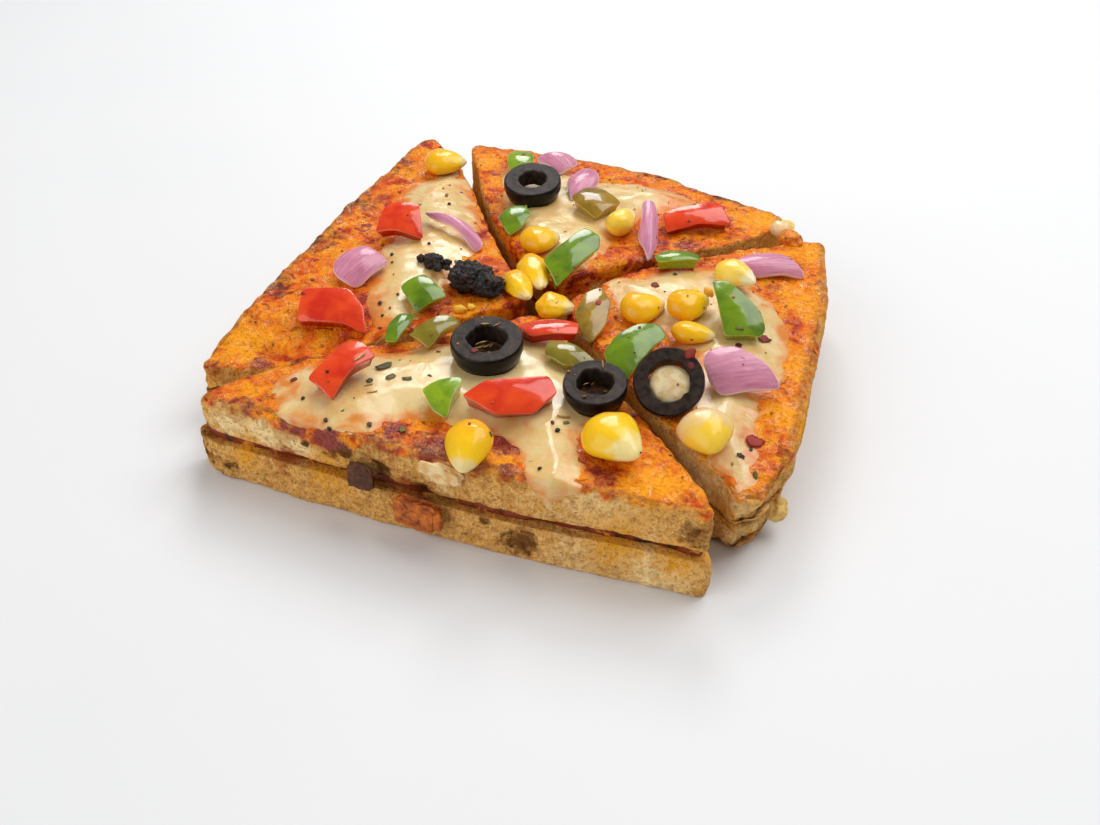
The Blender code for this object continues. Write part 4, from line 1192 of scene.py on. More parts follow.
QUARTERS = (
    Quarter(
        "front",
        crust=((-51.5, -67, 3), (4, -66.5, 20), (61.5, -60.5, 4)),
        cuts=(
            (53.5, -51.5, 8), (38, -36.5, 15), (5.5, -10.5, 2), (-19, -34.5, 15), (-37, -49.5, 12),
        ),
        presses=((-49, -65, 14, 1.8),),
        spread=1.2,
        cheese=(
            (-36, -55), (-33, -63), (-25, -68), (-17, -67.5), (-10, -65), (-4, -59), (6, -55),
            (17, -56), (22, -61), (25, -67), (29.5, -71), (34, -67), (35, -60), (31, -50),
            (34, -40), (22, -27), (10, -17), (1, -18), (-13, -33), (-28, -44),
        ),
        seed=3,
        marks={
            Stain.GOLD: (
                (-38, -62, 20, 7, 0.5), (18.5, -61, 19.5, 4, 1.0), (47.5, -56.4, 20.6, 9, 0.9),
                (54, -50, 20.6, 7, 0.6), (-37.5, -67, 9.5, 6, 0.9), (-17.7, -67, 9.4, 7, 0.8),
                (43, -62.5, 9.4, 9, 0.9), (54, -61.5, 9.0, 7, 0.9),
            ),
            Stain.RED: (
                (-39.5, -66.5, 18.6, 5, 0.8), (-25.5, -67.5, 18.6, 5, 0.8),
                (-17, -67, 18.0, 5, 0.9), (-4.8, -62, 20.6, 4, 0.8), (5, -62.5, 20.4, 6, 0.9),
                (17.6, -55.2, 20.6, 6, 0.9), (20.5, -63.5, 19.5, 2.5, 1.0),
                (13.7, -64.8, 19.5, 3, 1.0), (37, -58, 20.3, 4, 0.8), (-29.3, -66, 9.4, 6, 1.0),
                (-6, -66, 19, 6, 0.7), (0, -67, 10.5, 8, 0.8), (34, -55, 20.5, 4, 0.6),
            ),
            Stain.PALE: (
                (-41, -67.5, 14.4, 5, 1.0), (-33, -67.5, 14.2, 5, 1.0), (-25, -67.5, 13.4, 4, 0.9),
                (40, -63, 16, 12, 0.5), (50, -63.2, 5.5, 9, 0.9), (36, -64.5, 5, 8, 0.5),
                (7, -66.5, 17.2, 3.6, 1.0),
            ),
            Stain.SCORCH: (
                (-50, -66, 6, 8, 0.6), (-43, -68.5, 3, 6, 0.5), (-15, -67.2, 15, 5, 0.5),
                (-23.1, -67.3, 15.4, 1.6, 1.0), (-13.5, -67, 16.4, 2.2, 1.0), (-6, -67, 13, 3, 0.9),
                (2.5, -67, 11.2, 2.6, 1.0), (16.4, -67, 8.6, 1.8, 1.0), (24, -67, 4.5, 4.6, 0.95),
                (57, -61, 15.5, 5, 0.65), (55.5, -58.5, 20, 2.6, 0.5), (60.5, -62, 2, 4, 0.5),
                (12, -67.5, 4, 10, 0.30), (-30, -68, 1, 12, 0.35),
            ),
            Stain.PIT: (
                (-5.8, -67.3, 12.9, 2.2, 1.4), (2.5, -67.3, 11.6, 2.4, 1.6),
                (52.4, -63.6, 6.8, 1.8, 1.0), (16.4, -67.2, 8.6, 1.4, 0.8),
                (24, -67.2, 5.5, 3.0, 1.2),
            ),
            Stain.TORN: ((-50, -66, 14, 7, 0.6), (60, -58, 16, 5, 0.4), (20, -66, 4, 7, 0.5)),
            Stain.SHEER: (
                (-33, -60, 21, 7, 0.75), (-23, -66, 20.5, 6, 0.8), (-13, -65, 21, 5, 0.7),
                (-30, -50, 21, 6, 0.4), (2, -55, 21, 5, 0.5), (31, -57, 21, 4, 0.3),
            ),
            Stain.RUN: ((5, -12, 16, 11, 1.0), (-20, -67, 17, 12, 0.7)),
        },
    ),
    Quarter(
        "right",
        crust=(
            (65, -51.5, 3), (69.2, -43, 5), (69.8, -33, 10), (68.3, 0, 20), (65.5, 30, 20),
            (59.8, 53.5, 5),
        ),
        cuts=(
            (45, 40.5, 12), (16, 13.5, 10), (9, -5.5, 2), (38, -33, 15), (46.5, -40, 8),
            (58, -46.5, 8),
        ),
        presses=((66, -50, 13, 4.5),),
        spread=-0.9,
        cheese=(
            (15, 8), (22, 16), (34, 25), (42, 26), (54, 16), (62, 4), (63, -10), (61, -21),
            (61, -31), (65, -38), (66.5, -46), (63.5, -49), (58.5, -46.5), (52.5, -41.5),
            (48.5, -37), (46, -28), (44, -18), (38, -11), (22, -3),
        ),
        seed=5,
        marks={
            Stain.GOLD: (
                (65, -49, 15, 9, 0.5), (68, -25, 20, 9, 0.9), (66, -8, 20, 9, 0.7),
                (60, 22, 20.8, 10, 0.7), (62.5, -49.5, 4.5, 8, 0.5), (58, 44, 20, 9, 0.8),
                (54, -44, 19, 5, 0.8), (50, 36, 20.5, 8, 0.7), (66, -50, 9, 5, 0.7),
                (60, -48, 9, 9, 0.8), (52, -43, 12, 6, 0.5),
            ),
            Stain.RED: ((63.5, 29, 19.5, 3, 0.7), (59, -14, 20.8, 4, 0.4)),
            Stain.SCORCH: (
                (66, 27, 17, 7, 0.5), (69, 5, 17, 10, 0.3), (62, 48, 16, 7, 0.4),
                (70, -28, 2, 10, 0.25),
            ),
            # Paler torn crumb; the strongest marks at the corner also lighten its shaded wall, as
            # painted light.
            Stain.PALE: (
                (56, -46, 12, 6, 0.6), (50, -42, 10, 8, 0.5), (60, -48.5, 9, 8, 1.0),
                (52, -43.5, 13, 8, 0.9), (57, -47, 14, 8, 1.2), (63, -50, 8, 8, 1.2),
            ),
            Stain.PIT: (
                (60, -48.5, 12, 3, 0.7), (64, -50.5, 8, 2.2, 0.8), (55, -45, 15, 2.5, 0.6),
                (59, -48, 5, 3, 0.8), (70.5, -44, 3, 10, 4.6),
            ),
            Stain.TORN: ((60, -48, 10, 10, 1.0), (67, -46, 9, 9, 1.0)),
            Stain.SHEER: (
                (57, 12, 21, 8, 0.7), (61, -18, 21, 7, 0.8), (62, -34, 20, 5, 0.5),
                (40, 22, 21, 7, 0.6), (24, 0, 21, 6, 0.5), (52, -38, 20, 5, 0.5),
            ),
            Stain.RUN: (
                (10, 2, 16, 13, 1.0),
            ),
        },
    ),
    Quarter(
        "back",
        crust=((51, 60, 5), (26, 66.8, 15), (-5, 73.3, 20), (-50, 68.5, 4)),
        cuts=((-36.5, 46, 15), (-20, 22, 15), (3.5, 2.5, 2), (13, 16.5, 10), (42.5, 43.5, 12)),
        presses=(),
        spread=0.4,
        cheese=(
            (-34, 54), (-30, 61), (-19, 62), (-5, 60), (4, 63), (17, 62), (25, 59), (22, 52),
            (14, 46), (11, 32), (10, 18), (5, 10), (-3, 12), (-13, 20), (-22, 31),
        ),
        seed=7,
        marks={
            Stain.GOLD: ((44, 55.5, 20.5, 9, 0.9), (-42, 58, 20.6, 8, 0.7), (32, 44, 20.6, 7, 0.5)),
            Stain.RED: ((21, 23, 19.5, 6, 0.7), (28, 34, 20, 5, 0.7)),
            Stain.SCORCH: (
                (10, 71, 18, 8, 0.7), (33, 65.5, 18, 8, 0.75), (-25, 71, 17, 10, 0.45),
                (-47, 68, 8, 8, 0.4), (8, 74, 4, 12, 0.35),
            ),
            Stain.TORN: (
                (50, 60, 18, 8, 0.6),
            ),
            Stain.SHEER: (
                (20, 57, 21, 10, 0.8), (12, 40, 21, 7, 0.6), (-27, 55, 21, 6, 0.5),
                (6, 18, 21, 7, 0.7),
            ),
            Stain.RUN: ((4, 6, 16, 11, 1.0), (17, 19, 17, 11, 0.9), (-12, 17, 17, 10, 0.7)),
        },
    ),
    Quarter(
        "left",
        crust=((-62.8, 66.8, 5), (-63.6, 28, 20), (-60, -14, 20), (-58, -41, 8), (-61, -54.5, 4)),
        cuts=(
            (-39.5, -46.5, 12), (-21.5, -31.5, 15), (1, -6, 2), (-23.5, 22.5, 15), (-41, 48.5, 15),
        ),
        presses=((-59, -53, 11, 5), (-45, -46, 8, 5), (-33, -38, 7, 3.5), (-56, 62, 14, -1.5)),
        spread=0.6,
        cheese=(
            (-53, 33), (-51, 41), (-47, 47), (-43, 48), (-35, 39), (-26, 25), (-20, 10), (-19, -2),
            (-19, -16), (-20, -26), (-27, -31), (-36, -19), (-43, -2), (-42, 8), (-48, 20),
        ),
        seed=9,
        marks={
            Stain.GOLD: (
                (-54, -44, 17, 9, 0.9), (-50, -36, 19, 7, 0.6), (-53, 46, 21, 7, 0.6),
                (-50, -8, 20.8, 9, 0.4), (-10, -16, 20.8, 5, 0.8), (-58, -52, 12, 6, 0.6),
            ),
            Stain.RED: (
                (-56, -53, 13, 4, 0.9), (-47, -48, 15, 4, 0.8), (-47, -16, 20.6, 6, 0.4),
                (-9, -9, 20.6, 5, 0.5),
            ),
            Stain.SCORCH: (
                (-62, 20, 18, 13, 0.6), (-62, -2, 18, 12, 0.65), (-59, -24, 18, 10, 0.6),
                (-63, 44, 18, 12, 0.55), (-60, -50, 6, 8, 0.6), (-64, 10, 4, 20, 0.4),
            ),
            Stain.TORN: (
                (-60, -53, 11, 8, 0.8), (-62, -18, 17, 18, 0.4), (-64, 22, 17, 20, 0.4),
                (-64, 54, 17, 14, 0.4),
            ),
            Stain.SHEER: (
                (-44, -2, 21, 7, 0.6), (-50, 30, 21, 7, 0.6), (-24, -26, 21, 6, 0.5),
                (-36, 34, 21, 5, 0.4),
            ),
            Stain.RUN: ((-3, -6, 16, 12, 1.0), (-16, 14, 17, 11, 0.7)),
        },
    ),
)


@dataclass(frozen=True)
class BreadSlice:
    """A slice of one quarter: the plain lower one, or the upper one with its baked sauce.

    The crumb, the swell, the tear, the pores, the grit, the blobs and the lip are the heights
    of its reliefs, and the grain is how wide the crumb's are.
    """

    quarter: Quarter
    is_upper: bool
    crumb: float = 0.36
    grain: float = 1.7
    swell: float = 0.35
    tear: float = 1.3
    pore_spacing: float = 2.2
    pore_depth: float = 0.4
    grit: float = 0.55
    blobs: float = 0.9
    lip: float = 0.5
    rim_width: float = 2.2
    rings: Rings = Rings(under=8, shoulder=7, wall=20, top=60)

    @property
    def node(self) -> str:
        """The slice's name in the model."""
        return ("upper_slice_" if self.is_upper else "lower_slice_") + self.quarter.name

    @property
    def seed(self) -> int:
        """Which unevenness it has."""
        return self.quarter.seed + 20 * self.is_upper

    def skin(self) -> tuple[Skin, Array]:
        """The slice's smooth skin, and how much of each column is crust."""
        quarter = self.quarter
        if self.is_upper:
            outline, crust = quarter.outline(0.0, UPPER_SEED)
            lower: Height = lambda plan: quarter.seam(plan) + quarter.opening(plan)
            upper: Height = quarter.top
            soft = (0.3 * quarter.soft(crust), quarter.soft(crust))
        else:
            outline, crust = quarter.outline(0.0, LOWER_SEED, quarter.spread)
            lower = lambda plan: np.zeros(plan.shape[:-1])
            upper = quarter.seam
            soft = (0.6 * quarter.soft(crust), 0.3 * quarter.soft(crust))
        return slab(outline, lower, upper, soft, self.rings), crust

    def holes(self, skin: Skin) -> Array:
        """How deep each place is in one of the crumb's pores, which only the wall has."""
        depth = np.zeros(skin.points.shape[:2])
        rows = np.flatnonzero(skin.on_wall)
        depth[rows] = pores(skin.points[rows], self.pore_spacing, self.seed + 2)
        return depth

    def bread_relief(self, skin: Skin, crust: Array, holes: Array) -> Array:
        """How far the bread stands out from its smooth skin.

        The wall moves out by a sine of its level, and in and out by noise, and sinks into its
        pores and pits. Where it is torn, it is rough up to the top.

        Args:
            skin: The smooth skin.
            crust: How much of each column is crust.
            holes: How deep each place is in a pore.

        Returns:
            The distance for each place.
        """
        points, level, seed = skin.points, skin.level[:, None], self.seed
        bulge = CRUST_BULGE * np.sin(math.pi * np.clip(level, 0.0, 1.0)) * crust[None]
        crumb = self.crumb * rough(points, self.grain, seed)
        uneven = crumb + self.swell * ripple(points, 6.0, seed + 1)
        still = np.sin(math.pi * np.clip(level, 0.02, 1)) ** 0.5
        move = skin.on_wall * (bulge + uneven * still - self.pore_depth * holes * still)
        move -= skin.on_wall * self.quarter.marked(points, Stain.PIT)
        torn = self.quarter.marked(points, Stain.TORN) * smooth_step(level, 0.1, 0.3)
        return move + torn * (self.tear * rough(points, 3.6, seed + 12) - 0.2)

    def sauce_relief(self, skin: Skin, gritty: Array) -> Array:
        """How far the sauce stands out: fine grit, larger blobs and a lip along the wall."""
        blobs = np.clip(rough(skin.points, 4.2, self.seed + 8) - 0.1, 0.0, 1.0)
        edge = smooth_step(skin.level[:, None], 0.72, 0.95) * skin.on_wall
        move = skin.on_top * (self.grit * gritty + self.blobs * blobs)
        return move + edge * self.lip * ripple(skin.points, 2.6, self.seed + 5)

    def values(self, points: Array, skin: Skin, crust: Array) -> dict[str, Array]:
        """The values that the finish follows, but for the height of the crumb's peaks, which it
        paints as light on the peaks and shade in the hollows.

        The sauce is a ragged step between the wall and the top, the toasted edges are where
        the level nears the wall's two ends, and the rim is a bell curve of the distance from
        the top's own edge.

        Args:
            points: The slice's places, roughened.
            skin: Its smooth skin.
            crust: How much of each column is crust.

        Returns:
            Each value by its name.
        """
        level, seed = skin.level[:, None], self.seed
        spill = level + 0.13 * rough(points, 6.0, seed + 6) + 0.10 * ripple(points, 1.8, seed + 7)
        spill = spill + 0.5 * self.quarter.marked(points, Stain.RUN)
        sauce = smooth_step(spill, 0.84, 0.92) * float(self.is_upper)
        edge = points[int(np.flatnonzero(skin.level <= 1.0)[-1]), :, :2]
        inward = np.linalg.norm(points[..., :2] - edge, axis=-1) * skin.on_top
        rim = np.exp(-((inward / self.rim_width) ** 2)) * smooth_step(level, 0.8, 0.95)
        ends = np.abs(2.0 * np.clip(level, 0.0, 1.0) - 1.0)
        toasted = smooth_step(ends + 0.3 * rough(points, 4.0, seed + 9), 0.55, 1.1)
        stains = (Stain.SCORCH, Stain.GOLD, Stain.RED, Stain.PALE)
        return {
            "sauce": sauce,
            "crust": toasted * (0.6 + 0.4 * crust[None]),
            "rim": rim * (0.45 + 0.55 * crust[None]),
            **{stain.value: self.quarter.marked(points, stain) for stain in stains},
        }

    def cloth(self) -> Cloth:
        """Roughen the skin and give it its values, the peaks, for painted light and shade, from the
        same noise.
        """
        skin, crust = self.skin()
        holes = self.holes(skin)
        move = self.bread_relief(skin, crust, holes)
        # The relief's height, kept to paint light on the peaks and shade in the hollows.
        peak_shading = 0.5 + 1.1 * rough(skin.points, self.grain, self.seed) - 0.8 * holes
        if self.is_upper:
            waves = 0.5 * ripple(skin.points, 5.5, self.seed + 3)
            gritty = rough(skin.points, 2.2, self.seed + 4) + waves
            move = move + self.sauce_relief(skin, gritty)
            peak_shading = np.where(skin.on_top > 0, 0.5 + 0.45 * gritty, peak_shading)
        points = skin.points + skin.facing * move[..., None]
        values = {"peak_shading": np.clip(peak_shading, 0.0, 1.0), **self.values(points, skin, crust)}
        flat = {key: skin.flat(value) for key, value in values.items()}
        return Cloth(skin.flat(points), skin.faces(), flat)

    def build(self, finish: Material, table: Table) -> Piece:
        """Make the slice in place of its solid and lay it on the table."""
        cloth = self.cloth()
        table.lay(cloth)
        slot = "sauced_toast" if self.is_upper else "toast"
        piece = make_piece(self.node + "_baked", cloth, finish, slot)
        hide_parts(self.node)
        return piece


@dataclass(frozen=True)
class FillingLayer:
    """The sauce and melted bits in a quarter's seam, pressed against both slices."""

    quarter: Quarter
    ooze: float = 0.9
    draw_back: float = 5.0
    clear: float = 0.05
    edge: float = 0.1
    rings: Rings = Rings(under=4, shoulder=4, wall=4, top=6)

    def build(self, finish: Material) -> Piece:
        """Make the layer: a slab whose rim comes out of the seam unevenly, by noise.

        It draws back where the seam is nearly closed.
        """
        quarter = self.quarter
        outline, _ = quarter.outline(FILLING_INSET, FILLING_SEED)
        uneven = rough(outline, 7.0, quarter.seed + 60) + 0.35
        spill = self.ooze * np.clip(uneven, -0.4, 1.0)
        full = 2 * GAP + FILLING_THICKNESS
        closed = np.clip(1.0 - quarter.opening(outline) / full, 0.0, 1.0)
        outline = outline + outward(outline) * (spill - self.draw_back * closed)[:, None]
        soft = np.full(len(outline), self.edge)
        skin = slab(
            outline,
            lambda plan: quarter.seam(plan) + self.clear,
            lambda plan: quarter.seam(plan) + quarter.opening(plan) - self.clear,
            (soft, soft),
            self.rings,
        )
        cloth = Cloth(skin.flat(skin.points), skin.faces())
        piece = make_piece("filling_melted_" + quarter.name, cloth, finish, "filling")
        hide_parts("filling_" + quarter.name)
        return piece


@dataclass(frozen=True)
class MeltedCheese:
    """A quarter's cheese: a sheet with a rounded rim, run together and hung over the crust.

    The bead is how high its rim is, the crown how much higher its middle is, and the sunk how
    far its very edge goes into the bread.
    """

    quarter: Quarter
    spacing: float = 0.55
    thickness: float = 0.9
    ragged: float = 1.3
    bead: float = 0.55
    bead_width: float = 2.6
    crown: float = 1.8
    crown_width: float = 9.0
    sunk: float = 0.35
    swell: float = 0.28
    standoff: float = 0.2
    thin_width: float = 6.0

    def drape(self, plan: Array, offset: Array) -> Array:
        """Lay flat points over the top and, past the crust, down over its shoulder.

        A point above the shoulder turns about the shoulder's middle by its distance past it
        over the radius. One beyond a quarter turn falls straight down.

        Args:
            plan: Places on the flat sheet.
            offset: Height of each above the bread.

        Returns:
            The places in space.
        """
        quarter = self.quarter
        outline, crust = quarter.outline(0.0, UPPER_SEED)
        away, place, side = nearest_rim(plan, outline)
        radius = quarter.soft(crust)[side]
        past = radius - np.where(inside(plan, outline), away, -away)
        angle = np.clip(past / radius, 0.0, math.pi / 2.0)
        out = outward(outline)[side]
        fall = np.clip(past - radius * math.pi / 2.0, 0.0, None)
        arm = radius + offset + self.standoff * np.sin(angle)
        shoulder = place + out * (arm * np.sin(angle) - radius)[:, None]
        over = past > 0.0
        draped = np.where(over[:, None], shoulder, plan)
        height = quarter.top(np.where(over[:, None], place, plan)) - radius * over
        height = height + np.where(over, arm * np.cos(angle) - fall, offset)
        return np.concatenate([draped, height[:, None]], axis=1)

    def patch(self) -> Array:
        """The sheet's outline in the plan, made ragged by noise."""
        seed = self.quarter.seed
        outline = smooth_loop(np.array(self.quarter.cheese, float), 10)
        fine = 0.5 * ripple(outline, 2.2, seed + 44)
        wander = self.ragged * rough(outline, 5.5, seed + 40) + fine
        return outline + outward(outline) * wander[:, None]

    def cloth(self) -> Cloth:
        """The sheet over a square grid cut to its outline.

        A point's height is a quarter circle of its distance from the rim, a slow rise beyond
        that, and noise that dies away at the rim. Points just outside move to the rim.
        """
        seed, rim = self.quarter.seed, self.patch()
        low, high = rim.min(axis=0) - 1.0, rim.max(axis=0) + 1.0
        xs, ys = (np.arange(low[axis], high[axis], self.spacing) for axis in (0, 1))
        grid = np.stack(np.meshgrid(xs, ys, indexing="ij"), axis=-1)
        plan = grid.reshape(-1, 2)
        away, place, _ = nearest_rim(plan, rim)
        within = inside(plan, rim)
        plan = np.where(within[:, None], plan, place)
        away = np.where(within, away, 0.0)
        rise = np.sqrt(1.0 - (1.0 - np.clip(away / self.bead_width, 0.0, 1.0)) ** 2)
        offset = -self.sunk + self.bead * rise
        offset = offset + self.crown * smooth_step(away, 0.0, self.crown_width)
        runs = rough(plan, 8.0, seed + 41) + 0.2 * ripple(plan, 2.6, seed + 42)
        offset = offset + self.swell * np.clip(away / 3.0, 0.0, 1.0) * runs
        points = self.drape(plan, offset)
        index = np.arange(len(plan)).reshape(grid.shape[:2])
        squares = np.stack(
            [index[:-1, :-1], index[1:, :-1], index[1:, 1:], index[:-1, 1:]], axis=-1
        ).reshape(-1, 4)
        squares = squares[within[squares].any(axis=1)]
        used, renumbered = np.unique(squares, return_inverse=True)
        depth = away + 2.2 * ripple(plan, 5.0, seed + 43)
        thin = 1.0 - smooth_step(depth, 0.0, self.thin_width)
        thin = np.maximum(thin, self.quarter.marked(points, Stain.SHEER))
        return Cloth(points[used], renumbered.reshape(-1, 4).tolist(), {"thin": thin[used]})

    def build(self, finish: Material, table: Table) -> Piece:
        """Make the sheet in place of its solid, give it its thickness and lay it on the table."""
        cloth = self.cloth()
        table.lay(cloth)
        piece = make_piece("melted_cheese_" + self.quarter.name, cloth, finish, "cheese")
        body = piece.modifiers.new("Body", "SOLIDIFY")
        body.thickness = self.thickness * MM
        body.offset = -1.0
        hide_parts("cheese_" + self.quarter.name)
        return piece


# The toppings


@dataclass(frozen=True)
class Topping:
    """A piece laid on top, in the place that its solid has in the model.

    The heading, lean and lift are in degrees and turn it as its solid is turned.
    """

    node: str
    look: Look
    heading: float
    lean: float
    lift: float

    @property
    def seed(self) -> int:
        """A number of its own, from its name's letters."""
        return sum((index + 3) * ord(letter) for index, letter in enumerate(self.node)) % 997

    def turned(self, points: Array) -> Array:
        """Points turned by the lean, the lift and the heading, in that order."""
        turn = rotation("Z", self.heading) @ rotation("Y", -self.lift) @ rotation("X", self.lean)
        return points @ np.array(turn).T

    def settled(self, points: Array) -> Array:
        """Turned points, moved so that the middle of their box is the middle of the solid's."""
        low, high = (np.array(corner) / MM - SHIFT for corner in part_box(self.node))
        points = self.turned(points)
        middle = (points.min(axis=0) + points.max(axis=0)) / 2.0
        return points + (low + high) / 2.0 - middle

    def cloth(self) -> Cloth:
        """The piece's shape before it is settled."""
        raise NotImplementedError

    def build(self, table: Table) -> Piece:
        """Make the piece in place of its solid, lowered onto the table along the sight."""
        cloth = self.cloth()
        cloth.points = self.settled(cloth.points)
        drop = min(table.clearance(cloth.points) + PRESS, MOST_SETTLING)
        cloth.points += np.array(SIGHT) * drop / -SIGHT[2]
        table.lay(cloth)
        piece = make_piece(self.node + "_cooked", cloth, finish_of(self.look), self.look.slot)
        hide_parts(self.node)
        return piece


@dataclass(frozen=True)
class WallPiece(Topping):
    """A cut piece of curved vegetable wall: how thick it is and its corners from above.

    The bow and the cup are how far its ends and its sides fall below its middle.
    """

    wall: float
    corners: tuple[Place, ...]
    bow: float = 1.2
    cup: float = 0.8
    reach: float = 0.9
    hollow: float = 0.3
    edge: float = 0.35
    step: float = 0.42
    wander: float = 0.20
    relief: float = 0.10
    rim_width: float = 2.2
    rings: Rings = Rings(under=8, shoulder=4, wall=8, top=18)

    def bent(self, points: Array) -> Array:
        """A flat plate's points bent over the crown.

        The skin falls with the square of how far along and across it is, and a point below
        the skin goes that far along the skin's normal.
        """
        length, width = np.ptp(self.corners, axis=0)
        x, y, depth = np.moveaxis(points, -1, 0)
        u, v = 2.0 * x / length, 2.0 * y / width
        along, across = 4.0 * self.bow * u / length, 4.0 * self.cup * v / width
        slope = np.stack([along, across, np.ones_like(x)], axis=-1)
        normal = slope / np.linalg.norm(slope, axis=-1, keepdims=True)
        skin = np.stack([x, y, -self.bow * u**2 - self.cup * v**2], axis=-1)
        return skin + normal * depth[..., None]

    def cloth(self) -> Cloth:
        """The wall as a flat slab on its rounded outline, bent over the crown.

        Its cut sides sink by a sine of their height, as the flesh has shrunk under the skin,
        and noise moves the outline and the skin.
        """
        corners = tuple((x, y, self.reach) for x, y in self.corners)
        outline, _ = resample(rounded(corners), self.step)
        wander = self.wander * rough(outline, 3.5, self.seed)
        outline = outline + outward(outline) * wander[:, None]
        for _ in range(2):
            outline = (np.roll(outline, 1, axis=0) + 2 * outline + np.roll(outline, -1, axis=0)) / 4
        soft = np.full(len(outline), self.edge)
        flat = slab(
            outline,
            lambda plan: np.full(plan.shape[:-1], -self.wall),
            lambda plan: np.zeros(plan.shape[:-1]),
            (soft, soft),
            self.rings,
        )
        level = np.broadcast_to(flat.level[:, None], flat.points.shape[:2])
        sink = self.hollow * np.sin(math.pi * np.clip(level, 0.0, 1.0))
        relief = self.relief * rough(flat.points, 4.0, self.seed + 1) - sink
        points = self.bent(flat.points + flat.facing * relief[..., None])
        low, high = outline.min(axis=0), outline.max(axis=0)
        share = (flat.points[..., :2] - low) / (high - low)
        away, _, _ = nearest_rim(flat.points[..., :2].reshape(-1, 2), outline)
        values = {
            "skin": smooth_step(level, 0.86, 1.0),
            "along": share[..., 0],
            "across": share[..., 1],
            "edge": 1.0 - np.clip(away.reshape(level.shape) / self.rim_width, 0.0, 1.0),
        }
        values = {key: flat.flat(value) for key, value in values.items()}
        return Cloth(flat.flat(points), flat.faces(), values)


@dataclass(frozen=True)
class OliveRing(Topping):
    """A ring sliced from a stoned olive: its diameter, its hole's and its height.

    The section's powers make it boxy, sideways and upwards.
    """

    size: Size
    powers: tuple[float, float] = (0.34, 0.28)
    columns: int = 120
    steps: int = 52

    def cloth(self) -> Cloth:
        """The ring as a section carried round its axis.

        The section is a superellipse between the hole and the skin, and its outer edges are
        rounder. The hole, the skin and the faces wander by noise as it goes round.
        """
        outer, hole, half = (extent / 2.0 for extent in self.size)
        along = np.linspace(0.0, 2.0 * math.pi, self.columns, endpoint=False)[:, None]
        turn = np.linspace(0.0, 2.0 * math.pi, self.steps, endpoint=False)[None]
        c, s = np.cos(turn), np.sin(turn)
        across = np.sign(c) * np.abs(c) ** self.powers[0]
        up = np.sign(s) * np.abs(s) ** self.powers[1]
        place = np.concatenate([np.cos(along), np.sin(along)], axis=1) * outer
        uneven = ripple(place, 5.0, self.seed)[:, None]
        inner = hole * (1.0 + 0.10 * uneven + 0.08 * ripple(place, 2.2, self.seed + 3)[:, None])
        rim = outer * (1.0 + 0.02 * uneven)
        radius = (inner + rim) / 2.0 + (rim - inner) / 2.0 * across
        radius = radius - np.clip(across, 0, 1) ** 3 * (0.25 + 0.9 * np.clip(-up, 0, 1) ** 1.5)
        height = half * up * (1.0 - 0.12 * np.clip(across, 0, 1) ** 6) + 0.12 * uneven
        height = height - 0.22 * (1.0 - across**2) * np.clip(up, 0, 1) ** 4
        points = np.stack([radius * np.cos(along), radius * np.sin(along), height], axis=-1)
        points += 0.06 * rough(points, 1.6, self.seed + 1)[..., None]
        index = np.arange(points.shape[0] * points.shape[1]).reshape(points.shape[:2])
        after, next_up = np.roll(index, -1, axis=0), np.roll(index, -1, axis=1)
        squares = np.stack([index, after, np.roll(after, -1, axis=1), next_up], axis=-1)
        skin = smooth_step(across - 0.30 * np.abs(up) ** 4, 0.45, 0.62)
        values = {"skin": np.broadcast_to(skin, radius.shape).ravel()}
        return Cloth(points.reshape(-1, 3), squares.reshape(-1, 4).tolist(), values)


@dataclass(frozen=True)
class CornKernel(Topping):
    """A kernel of sweetcorn: a broad crown, a dent on top, and a blunt pale tip."""

    size: Size
    taper: float = 0.30
    wrinkle: float = 0.05
    dent: float = 0.12
    fineness: tuple[int, int] = (44, 60)

    def kernel(self, size: Size, seed: int) -> Cloth:
        """One kernel about its own middle.

        A ball whose sections narrow in a straight line from near its crown to its tip, are
        pressed towards squares, sink by a bell curve on top and wrinkle by noise.

        Args:
            size: Its length, width and depth.
            seed: Which wrinkles it has.

        Returns:
            Its shape.
        """
        unit = ball(*self.fineness)
        x, y, z = np.moveaxis(unit.points, -1, 0)
        narrow = 1.0 - self.taper * np.clip(x + 0.4, 0.0, None)
        full = 1.0 + 0.08 * (1.0 - x**2) * np.cos(2 * np.arctan2(z, y)) ** 2
        sunk = 1.0 - self.dent * np.exp(-((y / 0.4) ** 2) - ((x + 0.25) / 0.4) ** 2) * (z > 0)
        ridge = 1.0 + self.wrinkle * rough(unit.points * 6.0 + seed, 4.0, seed)
        shape = np.stack([x, y * narrow * full, z * narrow * full * sunk], axis=-1)
        points = shape * ridge[..., None] * np.array(size) / 2.0
        return Cloth(unit.flat(points), unit.faces(), {"tip": unit.flat((x + 1.0) / 2.0)})

    def cloth(self) -> Cloth:
        """The kernel."""
        return self.kernel(self.size, self.seed)


@dataclass(frozen=True)
class CornPair(CornKernel):
    """Two kernels still joined at their sides, the second given about the first."""

    second_size: Size = (13.0, 7.0, 5.0)
    second_place: Place = (5.0, -5.0)
    second_heading: float = 8.0

    def cloth(self) -> Cloth:
        """The first kernel, and the second turned and moved beside it."""
        second = self.kernel(self.second_size, self.seed + 5)
        turn = np.array(rotation("Z", self.second_heading))
        second.points = second.points @ turn.T + np.array((*self.second_place, 0.0))
        return self.kernel(self.size, self.seed).join(second)


